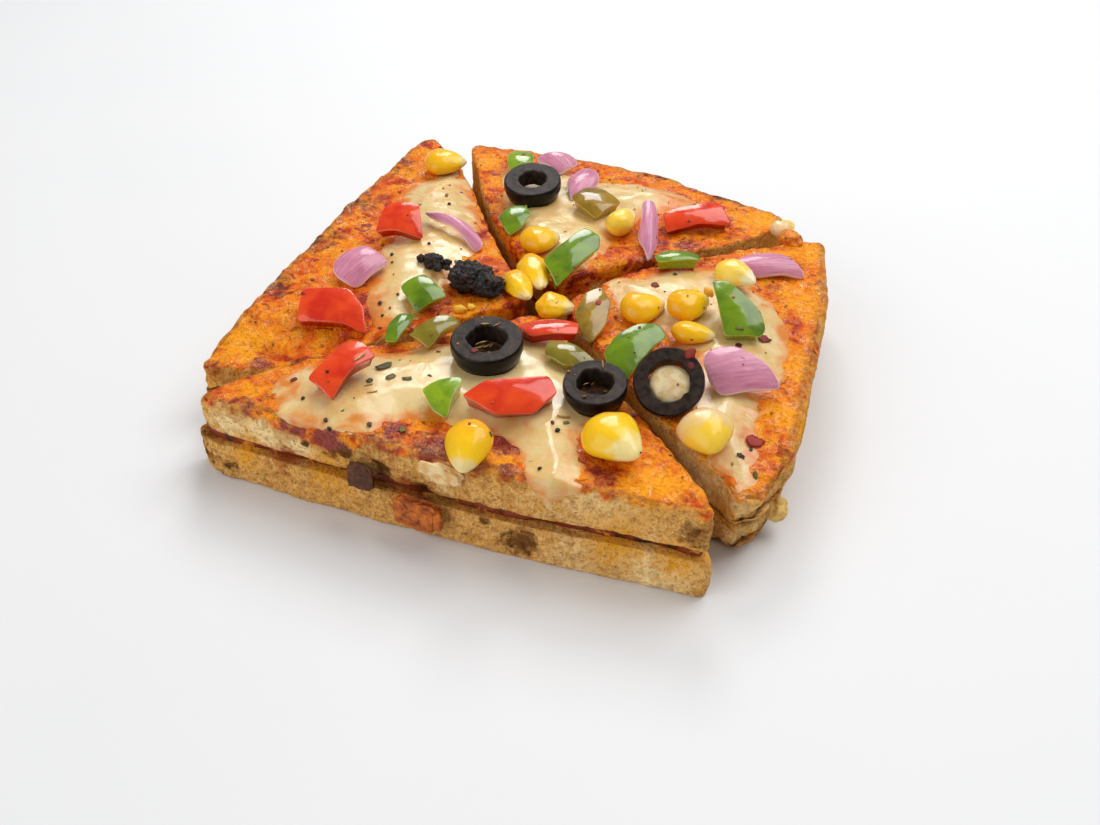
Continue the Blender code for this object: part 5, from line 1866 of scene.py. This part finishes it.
@dataclass(frozen=True)
class CharredLumps(Topping):
    """A shrivelled, burnt olive and the crumbs beside it."""

    size: Size
    crumbs: tuple[tuple[float, float, Size], ...] = (
        (4.6, -1.0, (7, 6.0, 5.5)), (-7.6, 2.0, (1.8, 1.4, 1.2)), (-8.6, 4.4, (2.2, 1.8, 1.6)),
        (-11.8, 3.4, (5.2, 4.4, 3.8)), (-15.4, 3.6, (2.2, 2.0, 1.8)), (-9.6, 1.0, (2.0, 1.8, 1.6)),
    )
    shrivel: float = 0.38
    blister: float = 0.14
    fineness: tuple[int, int] = (60, 84)

    def lump(self, x: float, y: float, size: Size, seed: int) -> Cloth:
        """A ball pushed in and out by noise of a few sizes, at a place beside the first."""
        unit = ball(*self.fineness)
        swell = 1.0 + self.shrivel * rough(unit.points * 3.0 + seed, 1.5, seed, 4)
        swell = swell + self.blister * ripple(unit.points * 3.0, 0.45, seed)
        points = unit.points * swell[..., None] * np.array(size) / 2.0 + np.array((x, y, 0.0))
        return Cloth(unit.flat(points), unit.faces())

    def cloth(self) -> Cloth:
        """The olive and its crumbs."""
        whole = self.lump(0.0, 0.0, self.size, self.seed)
        for index, (x, y, size) in enumerate(self.crumbs):
            whole = whole.join(self.lump(x, y, size, self.seed + index + 1))
        return whole


def petal(
    node: str, heading: float, lean: float, lift: float, wall: float, *corners: Place
) -> WallPiece:
    """A petal of onion, softer and more curved than capsicum."""
    return WallPiece(
        node, Look.ONION, heading, lean, lift, wall, corners,
        bow=1.6, cup=1.8, reach=2.0, hollow=0.1, edge=0.55,
    )


TOPPINGS: tuple[Topping, ...] = (
    CornKernel("corn_left_corner", Look.BRIGHT_CORN, 20, 0, 0, (12, 11.5, 7)),
    WallPiece(
        "capsicum_back_corner", Look.PALE_GREEN, -62, 1, -10, 2.8,
        ((2, -4), (5.5, -3), (1, 4), (-4, 4), (-5.5, -2), (-2.5, -4)),
    ),
    petal(
        "onion_back_edge", -24, 8, -9, 2,
        (-3.5, -5), (1.5, -4), (5, -4.5), (5.5, -1.5), (5.5, 4), (1.5, 5), (-5.5, -3),
    ),
    petal(
        "onion_back", 82, 6, 11, 2,
        (-5.5, 1), (-8, -1), (-0.5, -4.5), (4.5, -4), (8, -1), (8, 2.5), (5, 4), (-0.5, 4.5),
    ),
    OliveRing("olive_back", Look.OLIVE, 0, 10, 0, (16, 7, 5)),
    WallPiece(
        "capsicum_red_back", Look.RED, 32, 24, 5, 3.4,
        ((-9, -3.5), (0, -3), (9, -4), (7.5, 4), (-1, 4), (-8.5, 3.5)),
    ),
    petal(
        "onion_upright", -74, -2, -20, 2.2,
        (-3.5, -2), (3, -3), (11, 1), (5, 3), (-4.5, 3), (-11, 1.5), (-10.5, -2.5),
    ),
    CornKernel("corn_back", Look.PALE_CORN, 80, 0, 0, (11, 7.5, 7)),
    WallPiece(
        "capsicum_olive_toned", Look.KHAKI, 66, 6, 6, 3,
        ((-5.5, 0), (-5.5, -5.5), (-1.5, -5.5), (5, -5.5), (5.5, 2), (2.5, 5.5), (-4, 5.5)),
    ),
    WallPiece(
        "capsicum_back_left", Look.GREEN, 66, 11, 11, 3,
        ((-5, -0.5), (-5.5, -3.5), (-1.5, -4), (3.5, -2.5), (5.5, 1.5), (1.5, 4), (-3.5, 3.5)),
    ),
    CornKernel("corn_back_middle", Look.BRIGHT_CORN, 40, 0, 0, (10.5, 10, 6.5)),
    CornPair("corn_centre_pair", Look.BRIGHT_CORN, -55, 0, 0, (15, 8, 6), wrinkle=0.12),
    CornKernel("corn_centre_crinkled", Look.BRIGHT_CORN, 10, 0, 0, (9, 9, 6), wrinkle=0.16),
    WallPiece(
        "capsicum_centre_large", Look.GREEN, 68, 15, 16, 3.5,
        ((-9.5, -4), (6.5, -4), (9.5, -1.5), (9, 3.5), (-6, 4)),
    ),
    petal(
        "onion_left_strip", -20, 15, -13, 2,
        (-6, -3), (1.5, -1.5), (10.5, -3), (10.5, 1), (2, 3), (-10.5, -2.5),
    ),
    WallPiece(
        "capsicum_red_left", Look.RED, 16, 24, -2, 3.4,
        ((-6.5, -5), (-1, -4.5), (6.5, -5.5), (3.5, 5.5), (-4, 4.5), (-5.5, 3)),
    ),
    petal(
        "onion_left", 72, 11, 14, 2.4,
        (-6.5, 0), (-5.5, -5.5), (6.5, -5.5), (6, 3), (-0.5, 5.5), (-5.5, 3.5),
    ),
    CharredLumps("charred_olive", Look.CHARRED, 0, 0, 0, (12, 8, 7)),
    WallPiece(
        "capsicum_left_upper", Look.GREEN, 56, 16, 12, 3.2,
        ((-4, 1.5), (-4.5, -4.5), (4.5, -4.5), (3.5, 4.5), (-3.5, 4.5)),
    ),
    WallPiece(
        "capsicum_red_left_corner", Look.RED, 12, 24, -4, 3.6,
        ((-7.5, -5.5), (3.5, -4.5), (9, -5.5), (7, 1), (2, 5.5), (-9, 3.5)),
    ),
    WallPiece(
        "capsicum_red_front_left", Look.RED, 74, 11, 15, 3.6,
        ((-7.5, -4), (0.5, -2.5), (6.5, -4), (7.5, 1.5), (5, 4), (-6.5, 4)),
    ),
    WallPiece(
        "capsicum_left_small", Look.GREEN, -84, -3, -10, 2.8,
        ((5, 1.5), (0, 2.5), (-5.5, 2.5), (-3.5, -1.5), (0.5, -2.5), (5.5, -1.5)),
    ),
    WallPiece(
        "capsicum_grey_green", Look.GLASSY, 70, 7, 8, 3,
        ((-5.5, -3.5), (0.5, -3), (5.5, -3.5), (5, 1), (-5.5, 3.5)),
    ),
    WallPiece(
        "capsicum_red_middle", Look.RED, 32, 8, 2, 3,
        ((-4.5, -2), (6.5, -2.5), (7.5, 1.5), (0, 4), (-7.5, 4)),
    ),
    WallPiece(
        "capsicum_translucent", Look.GLASSY, 6, 14, -4, 3,
        ((-5.5, -1.5), (-0.5, -3.5), (6, -1.5), (6, 0.5), (0, 3.5), (-6, 3.5)),
    ),
    WallPiece(
        "capsicum_yellow_olive", Look.KHAKI, -84, -4, -14, 3,
        ((6.5, -1.5), (9, 2), (3, 4), (-4.5, 3.5), (-9, 0), (-5.5, -3.5), (1.5, -4)),
    ),
    CornKernel("corn_right_inner", Look.BRIGHT_CORN, 40, 10, 0, (11, 9.5, 6)),
    CornKernel("corn_right_middle", Look.BRIGHT_CORN, 50, 15, 0, (11, 9, 6), wrinkle=0.1),
    CornKernel("corn_right_outer", Look.BRIGHT_CORN, 10, 0, 0, (10, 7, 5)),
    WallPiece(
        "capsicum_right_back", Look.GREEN, 22, -2, 0, 3.3,
        ((-5.5, -2.5), (0, -3), (6, -1.5), (5, 2.5), (-2, 3), (-6, 0.5)),
    ),
    CornKernel("corn_right_pale", Look.PALE_CORN, -25, 10, 0, (11, 8.5, 6), wrinkle=0.1),
    petal(
        "onion_right_back", 26, 14, 1, 2,
        (-4.5, -4.5), (1.5, -4), (9.5, -4.5), (6, 1.5), (1.5, 4.5), (-3.5, 4.5), (-9.5, 1.5),
    ),
    CornKernel("corn_right_corner", Look.CREAM_CORN, 60, 0, 0, (8, 6, 5), wrinkle=0.1),
    WallPiece(
        "capsicum_right_large", Look.GREEN, -62, 3, -22, 3.5,
        ((1, -5), (7.5, -5), (8.5, 3.5), (6.5, 5), (2, 4.5), (-7.5, -1.5), (-8.5, -5)),
    ),
    WallPiece(
        "capsicum_front_large", Look.GREEN, 72, 11, 14, 3.5,
        ((-8.5, 0.5), (-8.5, -4.5), (1.5, -4), (7, -4.5), (8.5, -1), (5, 3), (-0.5, 4.5), (-6, 4)),
    ),
    petal(
        "onion_right", 30, 24, 4, 2.6,
        (-7.5, -2.5), (-6, -6), (2, -6), (8, -6), (6.5, -1.5), (0, 5.5), (-5.5, 6), (-8, 3.5),
    ),
    WallPiece(
        "capsicum_fibrous", Look.PALE_GREEN, -40, 10, -18, 4,
        ((2, -4.5), (5, -2.5), (1, 0.5), (-2, 4.5), (-3.5, 4.5), (-5, -0.5), (-4.5, -4.5)),
    ),
    WallPiece(
        "capsicum_red_front", Look.RED, 28, 24, 3, 4,
        ((-3.5, -4), (4.5, -4.5), (10, 0), (8.5, 4.5), (-5, 4.5), (-10, 1.5)),
    ),
    OliveRing("olive_left", Look.OLIVE, 0, 6, 0, (16, 8, 5)),
    OliveRing("olive_middle", Look.OLIVE, 0, 8, 0, (13.6, 7, 4.5)),
    OliveRing("olive_right", Look.OLIVE, 12, 42, 0, (15, 8.5, 5)),
    CornKernel("corn_front_left", Look.BRIGHT_CORN, -75, 5, -12, (12.6, 9.5, 7)),
    CornKernel("corn_front_middle", Look.CREAM_HEART_CORN, -30, 8, 0, (13.5, 12, 8)),
    CornKernel("corn_front_right", Look.CREAM_CORN, -60, 8, 0, (11.5, 11.5, 8.5)),
)


# Small loose things


@dataclass(frozen=True)
class Lump:
    """A small uneven piece: where it is, the way it faces, its size and which noise it has.

    Its finish is its own. It is more or less uneven, square and leaning.
    """

    name: str
    slot: str
    finish: LumpFinish
    place: tuple[float, float, float]
    facing: float
    size: Size
    seed: int
    uneven: float = 0.3
    square: float = 1.0
    lean: float = 0.0
    fineness: tuple[int, int] = (40, 56)

    def build(self, table: Table) -> Piece:
        """Make the lump: a ball pressed towards a box, roughened by noise, turned and placed.

        Each of the ball's coordinates is raised to the square's power with its sign kept.
        """
        unit = ball(*self.fineness)
        boxy = np.sign(unit.points) * np.abs(unit.points) ** self.square
        swell = 1.0 + self.uneven * rough(unit.points * 3.0, 2.2, self.seed, 4)
        points = boxy * swell[..., None] * np.array(self.size) / 2.0
        turn = rotation("Z", self.facing + 90.0) @ rotation("X", self.lean)
        points = points @ np.array(turn).T + np.array(self.place)
        cloth = Cloth(unit.flat(points), unit.faces())
        table.lay(cloth)
        return make_piece(self.name, cloth, self.finish.material(), self.slot)


def ring_shade_disc(name: str, x: float, y: float, width: float) -> Lump:
    """A dark disc in an olive ring, painted shade standing in for the shadow down its hole."""
    finish = LumpFinish(name, tint(34, 22, 18), tint(96, 58, 32), 0.35)
    return Lump(name, "filling", finish, (x, y, 22.9), 0, (width, width, 1.8), 10, 0.2)


LUMPS = (
    Lump(
        "dark_chip", "filling", LumpFinish("dark_peel", tint(52, 25, 12), tint(98, 54, 32), 0.35),
        place=(-9, -69.6, 13.6), facing=-90, size=(6.2, 1.6, 7.0), seed=2, uneven=0.4, square=0.55,
    ),
    Lump(
        "hanging_capsicum", "filling",
        LumpFinish("roast_red", tint(128, 52, 16), tint(214, 116, 34), 0.3),
        place=(3.5, -69.7, 8.2), facing=-90, size=(9.6, 1.8, 7.6), seed=4, square=0.4,
    ),
    Lump(
        "torn_knob", "toast",
        LumpFinish("torn_crumb", tint(206, 150, 70), tint(246, 206, 120), 0.75),
        place=(68.9, -37.8, 6.0), facing=-15, size=(5.5, 4.6, 5.6), seed=6, uneven=0.35,
    ),
    Lump(
        "cheese_drop", "cheese",
        LumpFinish("baked_cheese", tint(222, 170, 102), tint(242, 214, 160), 0.3, 0.1),
        place=(7.4, -66.8, 17.9), facing=-90, size=(9.0, 1.7, 4.2), seed=8, uneven=0.42, square=0.8,
    ),
    # Painted shade: dark discs in the holes of two olive rings.
    ring_shade_disc("shade_disc_in_left_olive", 2.2, -32.5, 8.4),
    ring_shade_disc("shade_disc_in_middle_olive", 28.3, -36.9, 7.4),
    Lump(
        "sauce_knob", "sauced_toast",
        LumpFinish("baked_orange", tint(190, 84, 14), tint(240, 150, 40), 0.4),
        place=(52.5, 48.0, 20.6), facing=40, size=(8.0, 5.6, 4.4), seed=9, uneven=0.42,
    ),
    Lump(
        "cheese_in_ring", "cheese",
        LumpFinish("ring_cheese", tint(216, 180, 122), tint(238, 220, 176), 0.3, 0.12),
        place=(42.9, -32.4, 26.2), facing=-78, size=(9.0, 8.0, 3.4), seed=7,
        uneven=0.07, square=0.9, lean=42.0,
    ),
)


class Bit(Enum):
    """The shapes of strewn bits, each as its width and thickness over its length."""

    LEAF = (0.62, 0.13)
    FLAKE = (0.85, 0.10)
    STICK = (0.16, 0.14)
    GRAIN = (0.85, 0.70)


@dataclass(frozen=True)
class Sprinkle:
    """Small dry bits of one kind: where the larger ones lie, and how many more are strewn.

    A place is an x, a y and the bit's length. The dents and the curl make bits uneven, and a
    bit's middle lies the rest's share of its thickness above what it lies on.
    """

    name: str
    bit: Bit
    finish: FlakeFinish
    slot: str
    places: tuple[tuple[float, float, float], ...]
    strewn: int
    sizes: tuple[float, float]
    seed: int
    field_size: tuple[float, float, float, float] = (-58.0, -64.0, 64.0, 64.0)
    dents: float = 0.32
    curl: float = 0.10
    rest: float = 0.35
    fineness: tuple[int, int] = (5, 8)

    def spots(self) -> tuple[Array, Array]:
        """The bits' places in the plan and their lengths."""
        random = np.random.default_rng(self.seed)
        x0, y0, x1, y1 = self.field_size
        more = random.uniform((x0, y0), (x1, y1), (self.strewn, 2))
        lengths = random.uniform(*self.sizes, self.strewn)
        given = np.array(self.places, float).reshape(-1, 3)
        return np.vstack([given[:, :2], more]), np.concatenate([given[:, 2], lengths])

    def build(self, table: Table) -> Piece:
        """Make all the bits as one mesh, each lying on what is under it.

        A bit is a small ball stretched to its shape, dented by random amounts and turned so
        that its thin way looks along the surface's normal.
        """
        plan, lengths = self.spots()
        places, normals, landed = table.settle(plan)
        lengths = lengths[landed]
        random = np.random.default_rng(self.seed + 1)
        unit = ball(*self.fineness)
        base = unit.flat(unit.points)
        count = len(places)
        dents = 1.0 + random.uniform(-self.dents, self.dents, (count, len(base), 1))
        thin = np.array((1.0, *self.bit.value))
        points = base[None] * dents * thin * lengths[:, None, None] / 2.0
        points[..., 2] += self.curl * points[..., 0] ** 2
        turn = random.uniform(0.0, 2.0 * math.pi, count)
        first = np.stack([np.cos(turn), np.sin(turn), np.zeros(count)], axis=1)
        first -= normals * (first * normals).sum(axis=1, keepdims=True)
        first /= np.linalg.norm(first, axis=1, keepdims=True)
        axes = np.stack([first, np.cross(normals, first), normals], axis=1)
        middles = places + normals * (self.rest * lengths * self.bit.value[1])[:, None]
        points = np.einsum("nki,nij->nkj", points, axes) + middles[:, None]
        faces = np.array([face + face[-1:] if len(face) == 3 else face for face in unit.faces()])
        every = faces[None] + (np.arange(count) * len(base))[:, None, None]
        every = [
            face[:3] if face[2] == face[3] else face for face in every.reshape(-1, 4).tolist()
        ]
        shade = np.repeat(random.uniform(0.0, 1.0, count), len(base))
        cloth = Cloth(points.reshape(-1, 3), every, {"shade": shade})
        return make_piece(self.name, cloth, self.finish.material(), self.slot)


SPRINKLES = (
    Sprinkle(
        "dried_herbs", Bit.LEAF, FlakeFinish("herb", tint(44, 44, 22), tint(120, 112, 52)),
        "sauced_toast",
        (
            (-15.9, -46.4, 3.4), (-12.8, -48.7, 2.4), (-9.4, -48.0, 2.2), (-16.2, -51.8, 2.0),
            (-3.4, -61.3, 2.6), (60.3, -40.7, 2.0), (64.1, -43.0, 1.8), (22.7, 25.1, 2.2),
            (32.8, 34.0, 2.0), (29.8, 17.1, 1.8), (51.0, -6.5, 1.6), (0.9, -32.0, 2.0),
            (4.4, -34.0, 1.7), (30.5, -36.4, 1.5), (-24.5, 30.0, 1.6), (-39.0, 30.5, 1.7),
            (-44.0, 24.0, 1.5), (-22.0, 2.0, 1.8), (26.0, -47.5, 1.7),
        ),
        30, (0.6, 1.3), 11,
    ),
    Sprinkle(
        "chili_flakes", Bit.FLAKE, FlakeFinish("chili", tint(96, 14, 8), tint(170, 40, 16)),
        "red_capsicum",
        (
            (21.0, 23.2, 2.8), (61.9, -35.7, 3.4), (56.4, -2.8, 3.0), (51.7, -8.0, 1.8),
            (27.2, 8.6, 2.2), (45.2, -28.6, 2.6), (-31.9, -56.2, 1.8), (2.0, -39.0, 1.6),
            (18.5, -8.0, 1.4), (24.0, 20.5, 1.6), (40.0, 30.0, 1.8), (-50.0, -20.0, 1.6),
            (46.0, -30.2, 1.6),
        ),
        22, (0.6, 1.3), 12,
    ),
    Sprinkle(
        "pepper_grains", Bit.GRAIN, FlakeFinish("pepper", tint(34, 26, 20), tint(92, 66, 40)),
        "charred",
        (
            (-31.3, 5.0, 0.9), (-36.1, 26.2, 1.0), (-37.5, -3.1, 1.0), (-35.6, -6.4, 0.8),
            (-29.5, -23.4, 1.2), (-26.8, -27.3, 0.9), (-25.4, -31.1, 0.9), (-15.8, -21.1, 0.8),
            (-26.7, -19.9, 0.8), (-25.9, -61.7, 0.9), (-18.7, -65.0, 1.1), (-17.1, -66.3, 1.0),
            (-9.9, -63.0, 1.2), (-22.1, -57.5, 0.8), (25.4, -50.9, 1.1), (26.2, -61.9, 0.9),
        ),
        40, (0.25, 0.55), 13,
    ),
    Sprinkle(
        "straw_bits", Bit.STICK, FlakeFinish("straw", tint(150, 104, 52), tint(214, 176, 104)),
        "sauced_toast",
        (
            (-17.9, -51.7, 3.0), (-13.4, -55.1, 2.4), (24.8, -46.6, 3.2), (-15.5, -53.4, 2.2),
            (3.9, -33.6, 3.0), (2.3, -30.9, 2.2), (5.7, -35.3, 2.4), (-0.1, -32.9, 2.2),
            (1.6, -31.6, 2.6), (0.4, -30.2, 2.0), (3.0, -29.6, 2.2), (28.4, -33.2, 2.4),
            (27.2, -35.0, 2.2),
        ),
        20, (0.8, 1.7), 14,
    ),
    Sprinkle(
        "corn_bits", Bit.GRAIN, FlakeFinish("corn_bit", tint(236, 160, 20), tint(252, 212, 70)),
        "corn",
        (
            (-12.2, -17.0, 3.0), (-8.7, -16.8, 3.4), (-6.2, -14.3, 3.0), (-10.0, -15.2, 2.2),
            (37.0, 9.0, 2.6), (40.5, 4.5, 3.0),
        ),
        0, (0.3, 0.7), 16,
    ),
    Sprinkle(
        "baked_crumbs", Bit.GRAIN, FlakeFinish("crumb_bits", tint(120, 66, 22), tint(226, 150, 60)),
        "toast",
        (), 90, (0.3, 0.8), 15,
    ),
)


# The studio


@dataclass(frozen=True)
class Lamp:
    """A square soft light: its place, its width in metres and its power."""

    name: str
    place: tuple[float, float, float]
    width: float
    power: float

    def build(self) -> Piece:
        """Hang the light where it looks at the sandwich."""
        data = bpy.data.lights.new(self.name, "AREA")
        data.shape = "SQUARE"
        data.size = self.width
        data.energy = self.power
        lamp = bpy.data.objects.new(self.name, data)
        bpy.context.scene.collection.objects.link(lamp)
        lamp.location = self.place
        lamp.rotation_euler = (-Vector(self.place)).to_track_quat("-Z", "Y").to_euler()
        return lamp


@dataclass(frozen=True)
class Studio:
    """A pale floor under soft light, and the camera at the photograph's angle."""

    eye: tuple[float, float, float] = (78.86, -196.54, 150.69)
    right: tuple[float, float, float] = (0.92855, 0.37048, 0.02278)
    up: tuple[float, float, float] = (-0.24765, 0.57262, 0.78150)
    lens: float = 33.38
    sensor_width: float = 36.0
    floor_width: float = 6.0
    sky: float = 0.30
    lamps: tuple[Lamp, ...] = (
        Lamp("window", (0.30, 0.40, 0.85), 0.7, 6.0),
        Lamp("glint", (-0.24, 0.62, 0.62), 0.32, 2.8),
        Lamp("reflector", (-0.42, -0.74, 0.52), 0.9, 4.4),
    )

    def camera(self) -> Piece:
        """Place the camera, its axes given as the photograph shows them."""
        data = bpy.data.cameras.new("studio_camera")
        data.lens = self.lens
        data.sensor_width = self.sensor_width
        camera = bpy.data.objects.new("studio_camera", data)
        bpy.context.scene.collection.objects.link(camera)
        seen = np.stack([self.right, self.up, -np.array(SIGHT)], axis=1)
        axes, _ = np.linalg.qr(seen)
        axes = axes * np.sign((axes * seen).sum(axis=0))
        matrix = Matrix(axes.tolist()).to_4x4()
        matrix.translation = Vector((np.array(self.eye) + SHIFT) * MM)
        camera.matrix_world = matrix
        bpy.context.scene.camera = camera
        return camera

    def floor(self) -> Piece:
        """Lay a wide, pale, slightly uneven floor."""
        half = self.floor_width / 2.0
        mesh = bpy.data.meshes.new("floor")
        corners = [(-half, -half, 0), (half, -half, 0), (half, half, 0), (-half, half, 0)]
        mesh.from_pydata(corners, [], [(0, 1, 2, 3)])
        make = Recipe("floor", 0.6)
        colour = make.mix(make.grain(60.0), tint(228, 229, 230), tint(232, 232, 233))
        mesh.materials.append(make.finish(Base_Color=colour))
        floor = bpy.data.objects.new("floor", mesh)
        bpy.context.scene.collection.objects.link(floor)
        return floor

    def open_sky(self) -> bpy.types.World:
        """Spread an even white sky, and show colours as they are."""
        world = bpy.data.worlds.new("studio_sky")
        world.use_nodes = True
        background = world.node_tree.nodes["Background"]
        background.inputs["Color"].default_value = (1.0, 1.0, 1.0, 1.0)
        background.inputs["Strength"].default_value = self.sky
        bpy.context.scene.world = world
        bpy.context.scene.view_settings.view_transform = "Standard"
        return world

    def build(self) -> list[bpy.types.ID]:
        """Set up the floor, the sky, the lights and the camera."""
        return [self.floor(), self.open_sky(), *(lamp.build() for lamp in self.lamps), self.camera()]


def report(piece: Piece) -> None:
    """Log a piece's name and how many faces it has."""
    LOG.info("%s: %d faces", piece.name, len(piece.data.polygons))


def main() -> None:
    """Build the sandwich from the board up, then the studio."""
    logging.basicConfig(level=logging.INFO, format="%(message)s")
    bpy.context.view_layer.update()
    toast = ToastFinish().material()
    filling = FillingFinish().material()
    cheese = CheeseFinish().material()
    table = Table()
    for quarter in QUARTERS:
        report(BreadSlice(quarter, is_upper=False).build(toast, table))
        report(FillingLayer(quarter).build(filling))
        report(BreadSlice(quarter, is_upper=True).build(toast, table))
        report(MeltedCheese(quarter).build(cheese, table))
    for layer in (TOPPINGS, LUMPS, SPRINKLES):
        for part in layer:
            report(part.build(table))
    for item in Studio().build():
        LOG.info("studio: %s", item.name)


if __name__ == "__main__":
    main()
